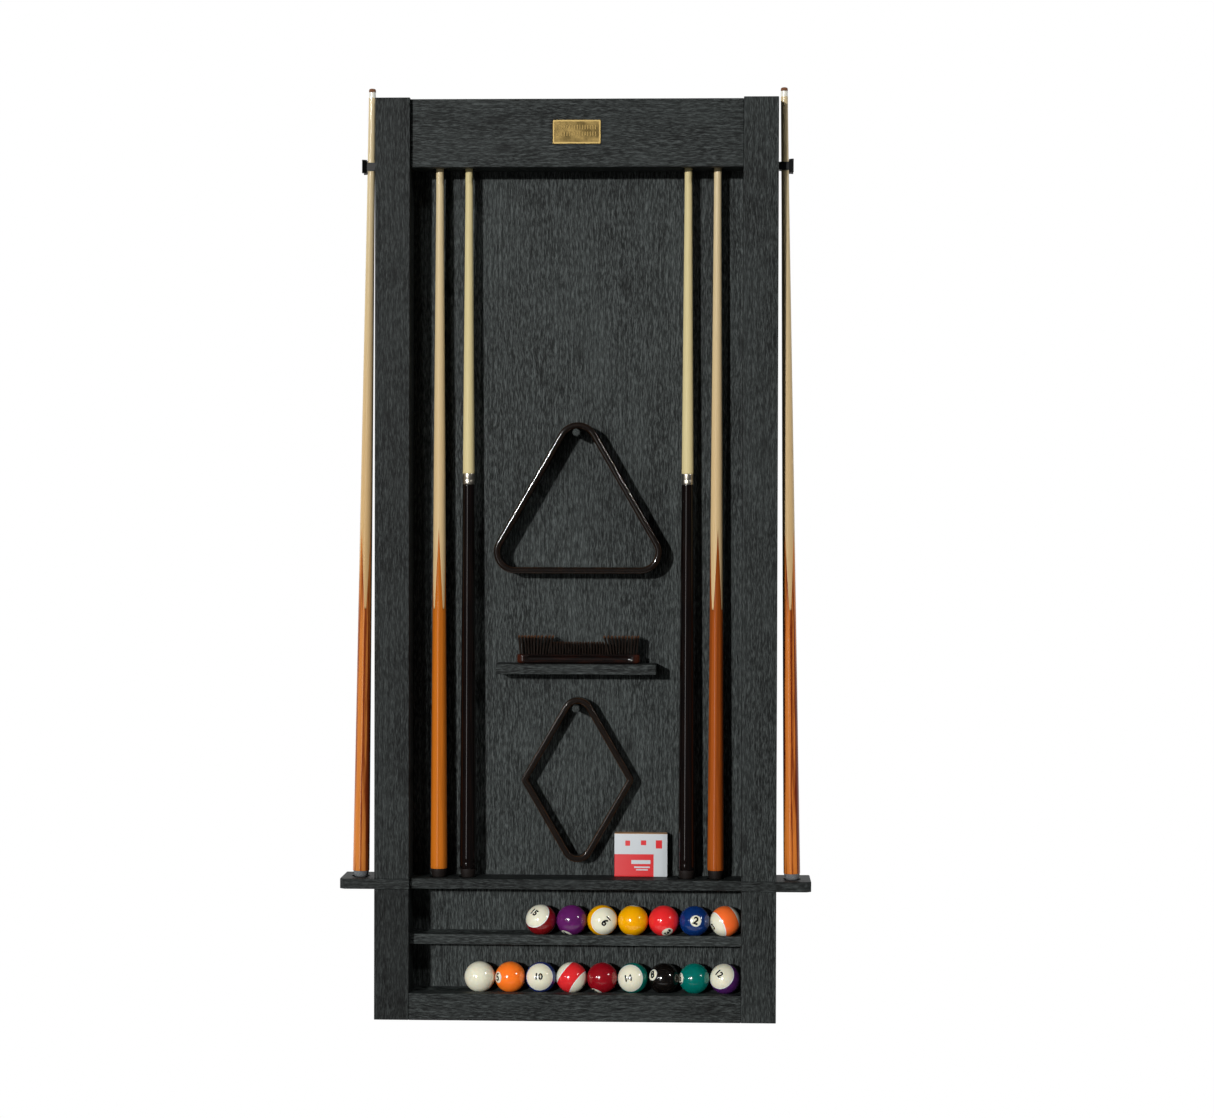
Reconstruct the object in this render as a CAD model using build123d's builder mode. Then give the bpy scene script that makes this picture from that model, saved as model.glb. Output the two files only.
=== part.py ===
"""Wall cue rack for six cues, a full set of balls, two ball racks, a table brush and chalk.

Frame: origin at the bottom centre of the rack's box, +X to the rack's right as seen from the room,
+Y towards the wall, +Z up, millimetres.  Depths are counted back from the face of the posts.
"""
from build123d import *
import math
import os

os.makedirs("parts", exist_ok=True)

# Driving dimensions of the cabinet
HEIGHT = 1708.0
DEPTH = 102.0
POST_OUTER_X = 372.5
POST_INNER_X = 308.0
WING_X = 437.0
BOARD = 19.0
EASED = 1.2
GAP = 0.3

PANEL_FRONT = 79.5
PANEL_BACK = 86.0
INSET_FRONT = 11.0

SHELF_TOP = 262.0
WING_BEVEL = 8.0
BALL_SHELF_TOP = 157.5
BALL_SHELF_FRONT = 20.0
BALL_FLOOR_TOP = 50.0
GROOVE_WIDTH = 47.0
GROOVE_DEPTH = 5.25

HEADER_BOTTOM = 1580.5
HEADER_TOP = 1706.5
PLATE_WIDTH = 89.0
PLATE_HEIGHT = 44.5
PLATE_THICKNESS = 2.4
PLATE_CENTRE_Z = 1645.0
PLATE_BORDER = 3.2
PLATE_CORNER_R = 2.0
PLATE_CHAMFER = 0.6
PLATE_RECESS_CORNER_R = 1.2
PLATE_RECESS_DEPTH = 0.8

DOWEL_R = 5.0
DOWEL_BITE = 25.0
DOWEL_DEPTHS = (30.0, 72.0)
POST_MIDDLE_X = (POST_INNER_X + POST_OUTER_X) / 2

# Hanging cleat pair, both boards in the space behind the panel
CLEAT_X = 260.0
CLEAT_THICKNESS = 15.5
CLEAT_SCREW_X = 203.2
CLEAT_SCREW_Z = 1585.0
CLEAT_SCREW_R = 2.75
WALL_CLEAT_BOTTOM = 1555.0
WALL_CLEAT_TOP = 1612.0
RACK_CLEAT_TOP = 1700.0

# Cues
CUE_DEPTH = 45.0
INNER_CUE_X = (-256.5, -202.0, 206.0, 260.5)
OUTER_CUE_X = 402.5
OUTER_CUE_LEAN = 0.76
OUTER_CUE_LENGTH = 1473.0
INNER_CUE_LENGTH = 1448.0
CUE_HOLE_R = 12.5
CUE_HOLE_CHAMFER = 1.2
RECESS_R = 17.0
RECESS_DEPTH = 4.0
BUTT_R = 15.6
BUTT_EDGE = 0.8
MID_R = 10.6
MID_AT = 800.0
SHAFT_R = 7.3
SHAFT_AT = 1250.0
TIP_R = 6.5
FERRULE_LENGTH = 10.5
LEATHER_LENGTH = 7.0
LEATHER_EDGE = 0.4
LEATHER_DOME_HEIGHT = 2.2
LEATHER_DOME_R = 9.56
JOINT_AT = 756.5
JOINT_R = 10.9
OUTER_BUMPER_HEIGHT = 14.0
INNER_BUMPER_HEIGHT = 19.0
BUMPER_DOME_R = 20.0
BUMPER_FOOT_R = 12.2
BUMPER_TOP_R = 14.6

# Spring clips that hold the outer cues
CLIP_Z = 1585.0
CLIP_HEIGHT = 15.0
CLIP_LIP_HEIGHT = 25.0
CLIP_WALL = 2.0
CLIP_BASE = 3.5
CLIP_MOUTH = 15.2
CLIP_ARM_X = 394.0
CLIP_LIP_X = 400.5
CLIP_FLARE = 5.0
CLIP_SCREW_R = 1.75
CLIP_HEAD_R = 3.4
CLIP_SCREW_LENGTH = 14.0

# Balls
BALL_R = 57.15 / 2
BALL_PITCH = 57.35
FIRST_BALL_X = 279.0
BALL_DEPTH = 49.5
UPPER_BALLS = ("ball_13", "ball_2", "ball_3", "ball_1", "ball_9", "ball_4", "ball_15")
LOWER_BALLS = (
    "ball_12",
    "ball_6",
    "ball_8",
    "ball_14",
    "ball_7",
    "ball_11",
    "ball_10",
    "ball_5",
    "cue_ball",
)

# Ball racks and the pegs that they hang from
PEG_R = 7.0
PEG_CHAMFER = 1.0
PEG_TENON_R = 4.0
PEG_PROJECTION = 62.0
PEG_X = 0.0
RACK_X = 2.5
FRAME_WALL = 11.5
TRIANGLE_TOP = 1110.0
TRIANGLE_SIDE = 232.0
TRIANGLE_CORNER_R = 40.0
TRIANGLE_THICKNESS = 54.0
TRIANGLE_EDGE_R = 2.5
DIAMOND_CENTRE_Z = 444.0
DIAMOND_HALF_WIDTH = 106.0
DIAMOND_HALF_ANGLE = 30.0
DIAMOND_CORNER_R = 30.0
DIAMOND_THICKNESS = 37.0

# Brush shelf, brush and chalk box
BRUSH_SHELF_X = 149.0
BRUSH_SHELF_TOP = 661.0
BRUSH_SHELF_DEPTH = 60.0
BRUSH_X = 4.0
BRUSH_DEPTH = 50.0
BRUSH_LENGTH = 229.0
BRUSH_WIDTH = 40.0
BRUSH_BASE_HEIGHT = 17.5
BRUSH_CORNER_R = 12.0
BRUSH_LOWER_EDGE_R = 7.0
BRUSH_UPPER_EDGE_R = 2.0
BRISTLE_CORNER_R = 8.0
BRISTLE_HEIGHT = 24.0
END_TUFT_HEIGHT = 36.0
END_TUFT_LENGTH = 58.0
BRISTLE_INSET = 4.0
CHALK_WIDTH = 99.0
CHALK_HEIGHT = 81.0
CHALK_THICKNESS = 23.0
CHALK_X = 121.0
CHALK_EDGE_R = 0.6


def from_face(distance):
    """Y of a point this far behind the face of the posts."""
    return distance - DEPTH / 2


def save(piece, label):
    """Name a finished piece and write it as one STEP file."""
    piece.part.label = label
    export_step(piece.part, f"parts/{label}.step")


# --- Posts: each is cut in two by the cue shelf, and dowelled through it -------------------------

def post(side, bottom, top, dowel_floor):
    """One length of post, with blind dowel holes that start at dowel_floor."""
    centre = side * POST_MIDDLE_X
    with BuildPart() as length_of_post:
        with BuildSketch(Plane.XY.offset(bottom)):
            with Locations((centre, 0)):
                Rectangle(POST_OUTER_X - POST_INNER_X, DEPTH)
        extrude(amount=top - bottom)
        fillet(length_of_post.edges(), radius=EASED)
        with BuildSketch(Plane.XY.offset(dowel_floor)):
            with Locations(*[(centre, from_face(depth)) for depth in DOWEL_DEPTHS]):
                Circle(DOWEL_R)
        extrude(amount=DOWEL_BITE, mode=Mode.SUBTRACT)
        if bottom >= SHELF_TOP:
            clip_face = Plane(
                origin=(side * POST_OUTER_X, from_face(CUE_DEPTH), CLIP_Z),
                x_dir=(0, 1, 0),
                z_dir=(-side, 0, 0),
            )
            with BuildSketch(clip_face):
                Circle(CLIP_SCREW_R)
            extrude(amount=CLIP_SCREW_LENGTH, mode=Mode.SUBTRACT)
    return length_of_post


for side, name in ((-1, "left"), (1, "right")):
    save(post(side, 0, SHELF_TOP - BOARD, SHELF_TOP - BOARD - DOWEL_BITE), f"{name}_lower_post")
    save(post(side, SHELF_TOP, HEIGHT, SHELF_TOP), f"{name}_upper_post")

with BuildPart() as post_dowels:
    with BuildSketch(Plane.XY.offset(SHELF_TOP - BOARD - DOWEL_BITE)):
        for side in (-1, 1):
            with Locations(*[(side * POST_MIDDLE_X, from_face(depth)) for depth in DOWEL_DEPTHS]):
                Circle(DOWEL_R)
    extrude(amount=BOARD + 2 * DOWEL_BITE)
save(post_dowels, "post_dowels")

# --- Header: face board, the drilled board behind it, and the nameplate --------------------------

with BuildPart() as header_board:
    with BuildSketch(Plane.XY.offset(HEADER_BOTTOM)):
        with Locations((0, from_face(INSET_FRONT + BOARD / 2))):
            Rectangle(2 * POST_INNER_X, BOARD)
    extrude(amount=HEADER_TOP - HEADER_BOTTOM)
    fillet(header_board.edges(), radius=EASED)
save(header_board, "header_board")

with BuildPart() as cue_board:
    with BuildSketch(Plane.XY.offset(HEADER_BOTTOM)):
        with Locations((0, from_face((INSET_FRONT + BOARD + PANEL_FRONT) / 2))):
            Rectangle(2 * POST_INNER_X, PANEL_FRONT - INSET_FRONT - BOARD)
        with Locations(*[(x, from_face(CUE_DEPTH)) for x in INNER_CUE_X]):
            Circle(CUE_HOLE_R, mode=Mode.SUBTRACT)
    extrude(amount=BOARD)
    rims = cue_board.edges().filter_by(GeomType.CIRCLE).group_by(Axis.Z)[0]
    chamfer(rims, length=CUE_HOLE_CHAMFER)
save(cue_board, "cue_board")

with BuildPart() as nameplate:
    with BuildSketch(Plane.XZ.offset(-from_face(INSET_FRONT))):
        with Locations((0, PLATE_CENTRE_Z)):
            RectangleRounded(PLATE_WIDTH, PLATE_HEIGHT, PLATE_CORNER_R)
    extrude(amount=PLATE_THICKNESS)
    chamfer(nameplate.faces().sort_by(Axis.Y)[0].edges(), length=PLATE_CHAMFER)
    with BuildSketch(Plane.XZ.offset(-from_face(INSET_FRONT - PLATE_THICKNESS))):
        with Locations((0, PLATE_CENTRE_Z)):
            RectangleRounded(
                PLATE_WIDTH - 2 * PLATE_BORDER, PLATE_HEIGHT - 2 * PLATE_BORDER, PLATE_RECESS_CORNER_R
            )
    extrude(amount=-PLATE_RECESS_DEPTH, mode=Mode.SUBTRACT)
save(nameplate, "nameplate")

# --- Back panel, with tenon holes for the two pegs -----------------------------------------------

triangle_inner_top = TRIANGLE_TOP - FRAME_WALL
diamond_sharp_top = DIAMOND_HALF_WIDTH / math.tan(math.radians(DIAMOND_HALF_ANGLE))
diamond_top = DIAMOND_CENTRE_Z + diamond_sharp_top - DIAMOND_CORNER_R * (
    1 / math.sin(math.radians(DIAMOND_HALF_ANGLE)) - 1
)
peg_heights = [inner_top - PEG_R - 2 * GAP for inner_top in (triangle_inner_top, diamond_top - FRAME_WALL)]

with BuildPart() as back_panel:
    with BuildSketch(Plane.XY):
        with Locations((0, from_face((PANEL_FRONT + PANEL_BACK) / 2))):
            Rectangle(2 * POST_INNER_X, PANEL_BACK - PANEL_FRONT)
    extrude(amount=HEADER_TOP)
    with BuildSketch(Plane.XZ.offset(-from_face(PANEL_FRONT))):
        with Locations(*[(PEG_X, z) for z in peg_heights]):
            Circle(PEG_TENON_R)
    extrude(amount=-(PANEL_BACK - PANEL_FRONT), mode=Mode.SUBTRACT)
save(back_panel, "back_panel")

with BuildPart() as hanging_pegs:
    for z in peg_heights:
        with BuildSketch(Plane.XZ.offset(-from_face(PANEL_FRONT))):
            with Locations((PEG_X, z)):
                Circle(PEG_R)
        extrude(amount=PEG_PROJECTION)
        with BuildSketch(Plane.XZ.offset(-from_face(PANEL_FRONT))):
            with Locations((PEG_X, z)):
                Circle(PEG_TENON_R)
        extrude(amount=-(PANEL_BACK - PANEL_FRONT))
    chamfer(hanging_pegs.faces().filter_by(Axis.Y).group_by(Axis.Y)[0].edges(), length=PEG_CHAMFER)
save(hanging_pegs, "hanging_pegs")

# --- Cue shelf: one board through both posts, with a wing at each end for an outer cue -----------

with BuildPart() as cue_shelf:
    with BuildSketch(Plane.XY.offset(SHELF_TOP - BOARD)):
        with Locations((0, from_face((INSET_FRONT + PANEL_FRONT) / 2))):
            Rectangle(2 * POST_INNER_X, PANEL_FRONT - INSET_FRONT)
        for side in (-1, 1):
            with Locations((side * (POST_INNER_X + WING_X) / 2, 0)):
                Rectangle(WING_X - POST_INNER_X, DEPTH)
    extrude(amount=BOARD)
    wing_corners = cue_shelf.edges().filter_by(Axis.Z).filter_by(
        lambda edge: abs(edge.center().X) > WING_X - 1 and edge.center().Y < 0
    )
    chamfer(wing_corners, length=WING_BEVEL)
    fillet(cue_shelf.faces().filter_by(Axis.Z).edges(), radius=EASED)
    with BuildSketch(Plane.XY.offset(SHELF_TOP)):
        with Locations(*[(x, from_face(CUE_DEPTH)) for x in INNER_CUE_X + (-OUTER_CUE_X, OUTER_CUE_X)]):
            Circle(RECESS_R)
    extrude(amount=-RECESS_DEPTH, mode=Mode.SUBTRACT)
    with BuildSketch(Plane.XY.offset(SHELF_TOP)):
        for side in (-1, 1):
            with Locations(*[(side * POST_MIDDLE_X, from_face(depth)) for depth in DOWEL_DEPTHS]):
                Circle(DOWEL_R)
    extrude(amount=-BOARD, mode=Mode.SUBTRACT)
save(cue_shelf, "cue_shelf")

# --- Ball shelves: each has a cove groove that the balls sit in -----------------------------------

GROOVE_R = (GROOVE_WIDTH**2 / 4 + GROOVE_DEPTH**2) / (2 * GROOVE_DEPTH)


def ball_shelf(top, front):
    """Board between the posts with one cove groove along its length."""
    with BuildPart() as grooved:
        with BuildSketch(Plane.XY.offset(top - BOARD)):
            with Locations((0, from_face((front + PANEL_FRONT) / 2))):
                Rectangle(2 * POST_INNER_X, PANEL_FRONT - front)
        extrude(amount=BOARD)
        fillet(grooved.edges().filter_by(Axis.X).group_by(Axis.Y)[0], radius=EASED)
        with BuildSketch(Plane.YZ.offset(-POST_INNER_X)):
            with Locations((from_face(BALL_DEPTH), top - GROOVE_DEPTH + GROOVE_R)):
                Circle(GROOVE_R)
        extrude(amount=2 * POST_INNER_X, mode=Mode.SUBTRACT)
    return grooved


save(ball_shelf(BALL_SHELF_TOP, BALL_SHELF_FRONT), "upper_ball_shelf")
save(ball_shelf(BALL_FLOOR_TOP, BOARD), "lower_ball_shelf")

with BuildPart() as bottom_rail:
    with BuildSketch(Plane.XY):
        with Locations((0, from_face(BOARD / 2))):
            Rectangle(2 * POST_INNER_X, BOARD)
    extrude(amount=BALL_FLOOR_TOP)
    fillet(bottom_rail.edges(), radius=EASED)
save(bottom_rail, "bottom_rail")

with BuildPart() as brush_shelf:
    with BuildSketch(Plane.XY.offset(BRUSH_SHELF_TOP - BOARD)):
        with Locations((0, from_face(PANEL_FRONT - BRUSH_SHELF_DEPTH / 2))):
            Rectangle(2 * BRUSH_SHELF_X, BRUSH_SHELF_DEPTH)
    extrude(amount=BOARD)
    fillet(brush_shelf.edges(), radius=EASED)
save(brush_shelf, "brush_shelf")

# --- Hanging cleats: the rack's hooks behind the wall's along a 45 degree edge --------------------

cleat_front = from_face(DEPTH - CLEAT_THICKNESS)
wall_face = from_face(DEPTH)

with BuildPart() as wall_cleat:
    with BuildSketch(Plane.YZ.offset(-CLEAT_X)):
        with BuildLine():
            Polyline(
                (cleat_front, WALL_CLEAT_BOTTOM),
                (wall_face, WALL_CLEAT_BOTTOM),
                (wall_face, WALL_CLEAT_TOP),
                (cleat_front, WALL_CLEAT_TOP + CLEAT_THICKNESS),
                close=True,
            )
        make_face()
    extrude(amount=2 * CLEAT_X)
    with Locations(Plane(origin=(0, cleat_front, CLEAT_SCREW_Z), x_dir=(1, 0, 0), z_dir=(0, -1, 0))):
        with Locations((-CLEAT_SCREW_X, 0), (CLEAT_SCREW_X, 0)):
            CounterSinkHole(CLEAT_SCREW_R, 2 * CLEAT_SCREW_R, depth=CLEAT_THICKNESS)
save(wall_cleat, "wall_cleat")

bevel_lift = WALL_CLEAT_TOP + GAP * math.sqrt(2)
with BuildPart() as rack_cleat:
    with BuildSketch(Plane.YZ.offset(-CLEAT_X)):
        with BuildLine():
            Polyline(
                (from_face(PANEL_BACK), bevel_lift + DEPTH - PANEL_BACK),
                (wall_face - GAP, bevel_lift + GAP),
                (wall_face - GAP, RACK_CLEAT_TOP),
                (from_face(PANEL_BACK), RACK_CLEAT_TOP),
                close=True,
            )
        make_face()
    extrude(amount=2 * CLEAT_X)
save(rack_cleat, "rack_cleat")

# --- Cues: turned along their own axis, butt bumper in the shelf's recess ------------------------

def cue_plane(x, lean):
    """Plane through a cue's axis: its X is the radius, its Y runs up the cue from the bumper's foot."""
    angle = math.radians(lean)
    foot = (x, from_face(CUE_DEPTH), SHELF_TOP - RECESS_DEPTH + GAP)
    return Plane(origin=foot, x_dir=(math.cos(angle), 0, math.sin(angle)), z_dir=(0, -1, 0))


def turned(plane, outline):
    """Solid of revolution about the cue's axis from an outline of (radius, height) points."""
    with BuildPart() as turning:
        with BuildSketch(plane):
            with BuildLine():
                Polyline(*[(0, outline[0][1]), *outline, (0, outline[-1][1])], close=True)
            make_face()
        revolve(axis=Axis(plane.origin, plane.y_dir))
    return turning


def bumper(plane, height):
    """Rubber bumper: spherical foot, tapered side."""
    foot_height = BUMPER_DOME_R - math.sqrt(BUMPER_DOME_R**2 - BUMPER_FOOT_R**2)
    half_r = BUMPER_FOOT_R / 2
    half_height = BUMPER_DOME_R - math.sqrt(BUMPER_DOME_R**2 - half_r**2)
    with BuildPart() as rubber:
        with BuildSketch(plane):
            with BuildLine():
                ThreePointArc((0, 0), (half_r, half_height), (BUMPER_FOOT_R, foot_height))
                Polyline((BUMPER_FOOT_R, foot_height), (BUMPER_TOP_R, height), (0, height), (0, 0))
            make_face()
        revolve(axis=Axis(plane.origin, plane.y_dir))
    return rubber


def tip(plane, length):
    """Ferrule with the domed leather pad on top of it."""
    ferrule_top = length - LEATHER_LENGTH
    ferrule_foot = ferrule_top - FERRULE_LENGTH
    dome_edge = (TIP_R - LEATHER_EDGE, length - LEATHER_DOME_HEIGHT)
    with BuildPart() as capped:
        with BuildSketch(plane):
            with BuildLine():
                Polyline(dome_edge, (TIP_R, ferrule_top), (TIP_R, ferrule_foot))
                Polyline((TIP_R, ferrule_foot), (0, ferrule_foot), (0, length))
                RadiusArc((0, length), dome_edge, LEATHER_DOME_R)
            make_face()
        revolve(axis=Axis(plane.origin, plane.y_dir))
    return capped


def house_cue(name, x, lean, length, bumper_height):
    """One-piece cue: stick, tip and bumper."""
    plane = cue_plane(x, lean)
    stick = [
        (BUTT_R - BUTT_EDGE, bumper_height),
        (BUTT_R, bumper_height + BUTT_EDGE),
        (MID_R, MID_AT),
        (SHAFT_R, SHAFT_AT),
        (TIP_R, length - LEATHER_LENGTH - FERRULE_LENGTH),
    ]
    save(turned(plane, stick), f"{name}_stick")
    save(tip(plane, length), f"{name}_tip")
    save(bumper(plane, bumper_height), f"{name}_bumper")


def two_piece_cue(name, x, length):
    """Jointed cue: butt with its collar, shaft, tip and bumper."""
    plane = cue_plane(x, 0)
    butt = [
        (BUTT_R - BUTT_EDGE, INNER_BUMPER_HEIGHT),
        (BUTT_R, INNER_BUMPER_HEIGHT + BUTT_EDGE),
        (JOINT_R, JOINT_AT),
    ]
    shaft = [(JOINT_R, JOINT_AT), (SHAFT_R, SHAFT_AT), (TIP_R, length - LEATHER_LENGTH - FERRULE_LENGTH)]
    save(turned(plane, butt), f"{name}_butt")
    save(turned(plane, shaft), f"{name}_shaft")
    save(tip(plane, length), f"{name}_tip")
    save(bumper(plane, INNER_BUMPER_HEIGHT), f"{name}_bumper")


house_cue("left_outer_cue", -OUTER_CUE_X, -OUTER_CUE_LEAN, OUTER_CUE_LENGTH, OUTER_BUMPER_HEIGHT)
house_cue("left_house_cue", INNER_CUE_X[0], 0, INNER_CUE_LENGTH, INNER_BUMPER_HEIGHT)
two_piece_cue("left_jointed_cue", INNER_CUE_X[1], INNER_CUE_LENGTH)
two_piece_cue("right_jointed_cue", INNER_CUE_X[2], INNER_CUE_LENGTH)
house_cue("right_house_cue", INNER_CUE_X[3], 0, INNER_CUE_LENGTH, INNER_BUMPER_HEIGHT)
house_cue("right_outer_cue", OUTER_CUE_X, OUTER_CUE_LEAN, OUTER_CUE_LENGTH, OUTER_BUMPER_HEIGHT)

# --- Clips: a U that opens away from the post, with flared lips and one countersunk screw --------

with BuildPart() as cue_clips:
    for side in (-1, 1):
        half_out = CLIP_MOUTH / 2 + CLIP_WALL
        with BuildSketch(Plane.XY.offset(CLIP_Z - CLIP_HEIGHT / 2)):
            with Locations((side * (POST_OUTER_X + CLIP_ARM_X) / 2, from_face(CUE_DEPTH))):
                Rectangle(CLIP_ARM_X - POST_OUTER_X, 2 * half_out)
            with Locations((side * (POST_OUTER_X + CLIP_BASE + CLIP_ARM_X) / 2, from_face(CUE_DEPTH))):
                Rectangle(CLIP_ARM_X - POST_OUTER_X - CLIP_BASE, CLIP_MOUTH, mode=Mode.SUBTRACT)
        extrude(amount=CLIP_HEIGHT)
        for front in (-1, 1):
            middle = from_face(CUE_DEPTH)
            with BuildSketch(Plane.XY.offset(CLIP_Z - CLIP_LIP_HEIGHT / 2)):
                with BuildLine():
                    Polyline(
                        (side * (CLIP_ARM_X - CLIP_WALL), middle + front * CLIP_MOUTH / 2),
                        (side * CLIP_ARM_X, middle + front * CLIP_MOUTH / 2),
                        (side * CLIP_LIP_X, middle + front * (CLIP_MOUTH / 2 + CLIP_FLARE)),
                        (side * CLIP_LIP_X, middle + front * (half_out + CLIP_FLARE)),
                        (side * (CLIP_ARM_X - CLIP_WALL), middle + front * half_out),
                        close=True,
                    )
                make_face()
            extrude(amount=CLIP_LIP_HEIGHT)
        screw_seat = Plane(
            origin=(side * (POST_OUTER_X + CLIP_BASE), from_face(CUE_DEPTH), CLIP_Z),
            x_dir=(0, 1, 0),
            z_dir=(side, 0, 0),
        )
        with Locations(screw_seat):
            CounterSinkHole(CLIP_SCREW_R, CLIP_HEAD_R, depth=CLIP_BASE)
save(cue_clips, "cue_clips")

with BuildPart() as clip_screws:
    for side in (-1, 1):
        seat = Plane(
            origin=(side * (POST_OUTER_X + CLIP_BASE), from_face(CUE_DEPTH), CLIP_Z),
            x_dir=(side, 0, 0),
            z_dir=(0, 1, 0),
        )
        with BuildSketch(seat):
            with BuildLine():
                Polyline(
                    (0, 0),
                    (0, CLIP_HEAD_R),
                    (CLIP_SCREW_R - CLIP_HEAD_R, CLIP_SCREW_R),
                    (-CLIP_SCREW_LENGTH, CLIP_SCREW_R),
                    (-CLIP_SCREW_LENGTH, 0),
                    close=True,
                )
            make_face()
        revolve(axis=Axis(seat.origin, seat.x_dir))
save(clip_screws, "clip_screws")

# --- Ball racks ----------------------------------------------------------------------------------

frame_back = -from_face(PANEL_FRONT - 2 * GAP)

with BuildPart() as triangle_rack:
    corner_z = TRIANGLE_TOP - TRIANGLE_CORNER_R
    base_z = corner_z - TRIANGLE_SIDE * math.sin(math.radians(60))
    with BuildSketch(Plane.XZ.offset(frame_back)):
        with BuildLine():
            Polyline(
                (RACK_X, corner_z),
                (RACK_X - TRIANGLE_SIDE / 2, base_z),
                (RACK_X + TRIANGLE_SIDE / 2, base_z),
                close=True,
            )
        make_face()
        offset(amount=TRIANGLE_CORNER_R)
        with BuildLine():
            Polyline(
                (RACK_X, corner_z),
                (RACK_X - TRIANGLE_SIDE / 2, base_z),
                (RACK_X + TRIANGLE_SIDE / 2, base_z),
                close=True,
            )
            offset(amount=TRIANGLE_CORNER_R - FRAME_WALL, mode=Mode.REPLACE)
        make_face(mode=Mode.SUBTRACT)
    extrude(amount=TRIANGLE_THICKNESS)
    fillet(triangle_rack.faces().filter_by(Axis.Y).edges(), radius=TRIANGLE_EDGE_R)
save(triangle_rack, "triangle_rack")

with BuildPart() as diamond_rack:
    with BuildSketch(Plane.XZ.offset(frame_back)) as diamond_outline:
        with BuildLine():
            Polyline(
                (RACK_X - DIAMOND_HALF_WIDTH, DIAMOND_CENTRE_Z),
                (RACK_X, DIAMOND_CENTRE_Z + diamond_sharp_top),
                (RACK_X + DIAMOND_HALF_WIDTH, DIAMOND_CENTRE_Z),
                (RACK_X, DIAMOND_CENTRE_Z - diamond_sharp_top),
                close=True,
            )
        make_face()
        fillet(diamond_outline.vertices().filter_by(lambda v: abs(v.X - RACK_X) < 1), radius=DIAMOND_CORNER_R)
        offset(amount=-FRAME_WALL, mode=Mode.SUBTRACT)
    extrude(amount=DIAMOND_THICKNESS)
save(diamond_rack, "diamond_rack")

# --- Table brush and chalk box -------------------------------------------------------------------

brush_seat = BRUSH_SHELF_TOP + GAP
with BuildPart() as brush_base:
    with BuildSketch(Plane.XY.offset(brush_seat)):
        with Locations((BRUSH_X, from_face(BRUSH_DEPTH))):
            RectangleRounded(BRUSH_LENGTH, BRUSH_WIDTH, BRUSH_CORNER_R)
    extrude(amount=BRUSH_BASE_HEIGHT)
    fillet(brush_base.faces().sort_by(Axis.Z)[0].edges(), radius=BRUSH_LOWER_EDGE_R)
    fillet(brush_base.faces().sort_by(Axis.Z)[-1].edges(), radius=BRUSH_UPPER_EDGE_R)
save(brush_base, "brush_base")

with BuildPart() as brush_bristles:
    bristle_length = BRUSH_LENGTH - 2 * BRISTLE_INSET
    bristle_width = BRUSH_WIDTH - 2 * BRISTLE_INSET
    with BuildSketch(Plane.XY.offset(brush_seat + BRUSH_BASE_HEIGHT)):
        with Locations((BRUSH_X, from_face(BRUSH_DEPTH))):
            RectangleRounded(bristle_length, bristle_width, BRISTLE_CORNER_R)
    extrude(amount=END_TUFT_HEIGHT)
    with BuildSketch(Plane.XY.offset(brush_seat + BRUSH_BASE_HEIGHT + BRISTLE_HEIGHT)):
        with Locations((BRUSH_X, from_face(BRUSH_DEPTH))):
            Rectangle(bristle_length - 2 * END_TUFT_LENGTH, BRUSH_WIDTH)
    extrude(amount=END_TUFT_HEIGHT - BRISTLE_HEIGHT, mode=Mode.SUBTRACT)
save(brush_bristles, "brush_bristles")

with BuildPart() as chalk_box:
    with BuildSketch(Plane.XY.offset(SHELF_TOP + GAP)):
        with Locations((CHALK_X, from_face(PANEL_FRONT - GAP - CHALK_THICKNESS / 2))):
            Rectangle(CHALK_WIDTH, CHALK_THICKNESS)
    extrude(amount=CHALK_HEIGHT)
    fillet(chalk_box.edges(), radius=CHALK_EDGE_R)
save(chalk_box, "chalk_box")

# --- Balls, packed against the right post in both rows -------------------------------------------

for row_top, names in ((BALL_SHELF_TOP, UPPER_BALLS), (BALL_FLOOR_TOP, LOWER_BALLS)):
    for place, name in enumerate(names):
        centre = (
            FIRST_BALL_X - place * BALL_PITCH,
            from_face(BALL_DEPTH),
            row_top - GROOVE_DEPTH + GAP + BALL_R,
        )
        with BuildPart(Plane(centre)) as ball:
            Sphere(BALL_R)
        save(ball, name)
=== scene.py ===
"""Wall cue rack of charcoal-stained wood with six cues, balls, two ball racks, a table brush and chalk.

Metres, in the CAD frame: origin at the bottom centre of the rack, +X right, +Y to the wall, +Z up.
"""

import math

import bpy
import numpy as np
from mathutils import Matrix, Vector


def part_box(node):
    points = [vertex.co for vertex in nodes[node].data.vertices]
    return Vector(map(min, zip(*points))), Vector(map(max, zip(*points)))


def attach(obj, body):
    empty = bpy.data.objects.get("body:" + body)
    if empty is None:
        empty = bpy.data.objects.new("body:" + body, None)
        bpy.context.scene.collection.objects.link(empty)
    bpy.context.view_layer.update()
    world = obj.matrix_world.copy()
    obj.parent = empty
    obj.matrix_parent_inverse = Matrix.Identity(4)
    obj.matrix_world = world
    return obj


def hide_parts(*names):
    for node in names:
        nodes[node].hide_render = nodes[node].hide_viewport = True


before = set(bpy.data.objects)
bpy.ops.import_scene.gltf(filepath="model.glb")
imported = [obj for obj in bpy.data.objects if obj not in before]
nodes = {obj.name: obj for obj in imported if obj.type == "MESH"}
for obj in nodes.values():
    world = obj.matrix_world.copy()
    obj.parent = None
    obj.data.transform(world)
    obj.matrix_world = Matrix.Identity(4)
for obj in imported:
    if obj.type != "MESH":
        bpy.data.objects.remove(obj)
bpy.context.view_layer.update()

# --- Cabinet -------------------------------------------------------------------------------------
# Posts, shelves, header and back panel of open-grained wood, stained charcoal and sealed with a thin satin
# lacquer. The posts are dowelled through the cue shelf, and the panel sits in behind the boards.

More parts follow.
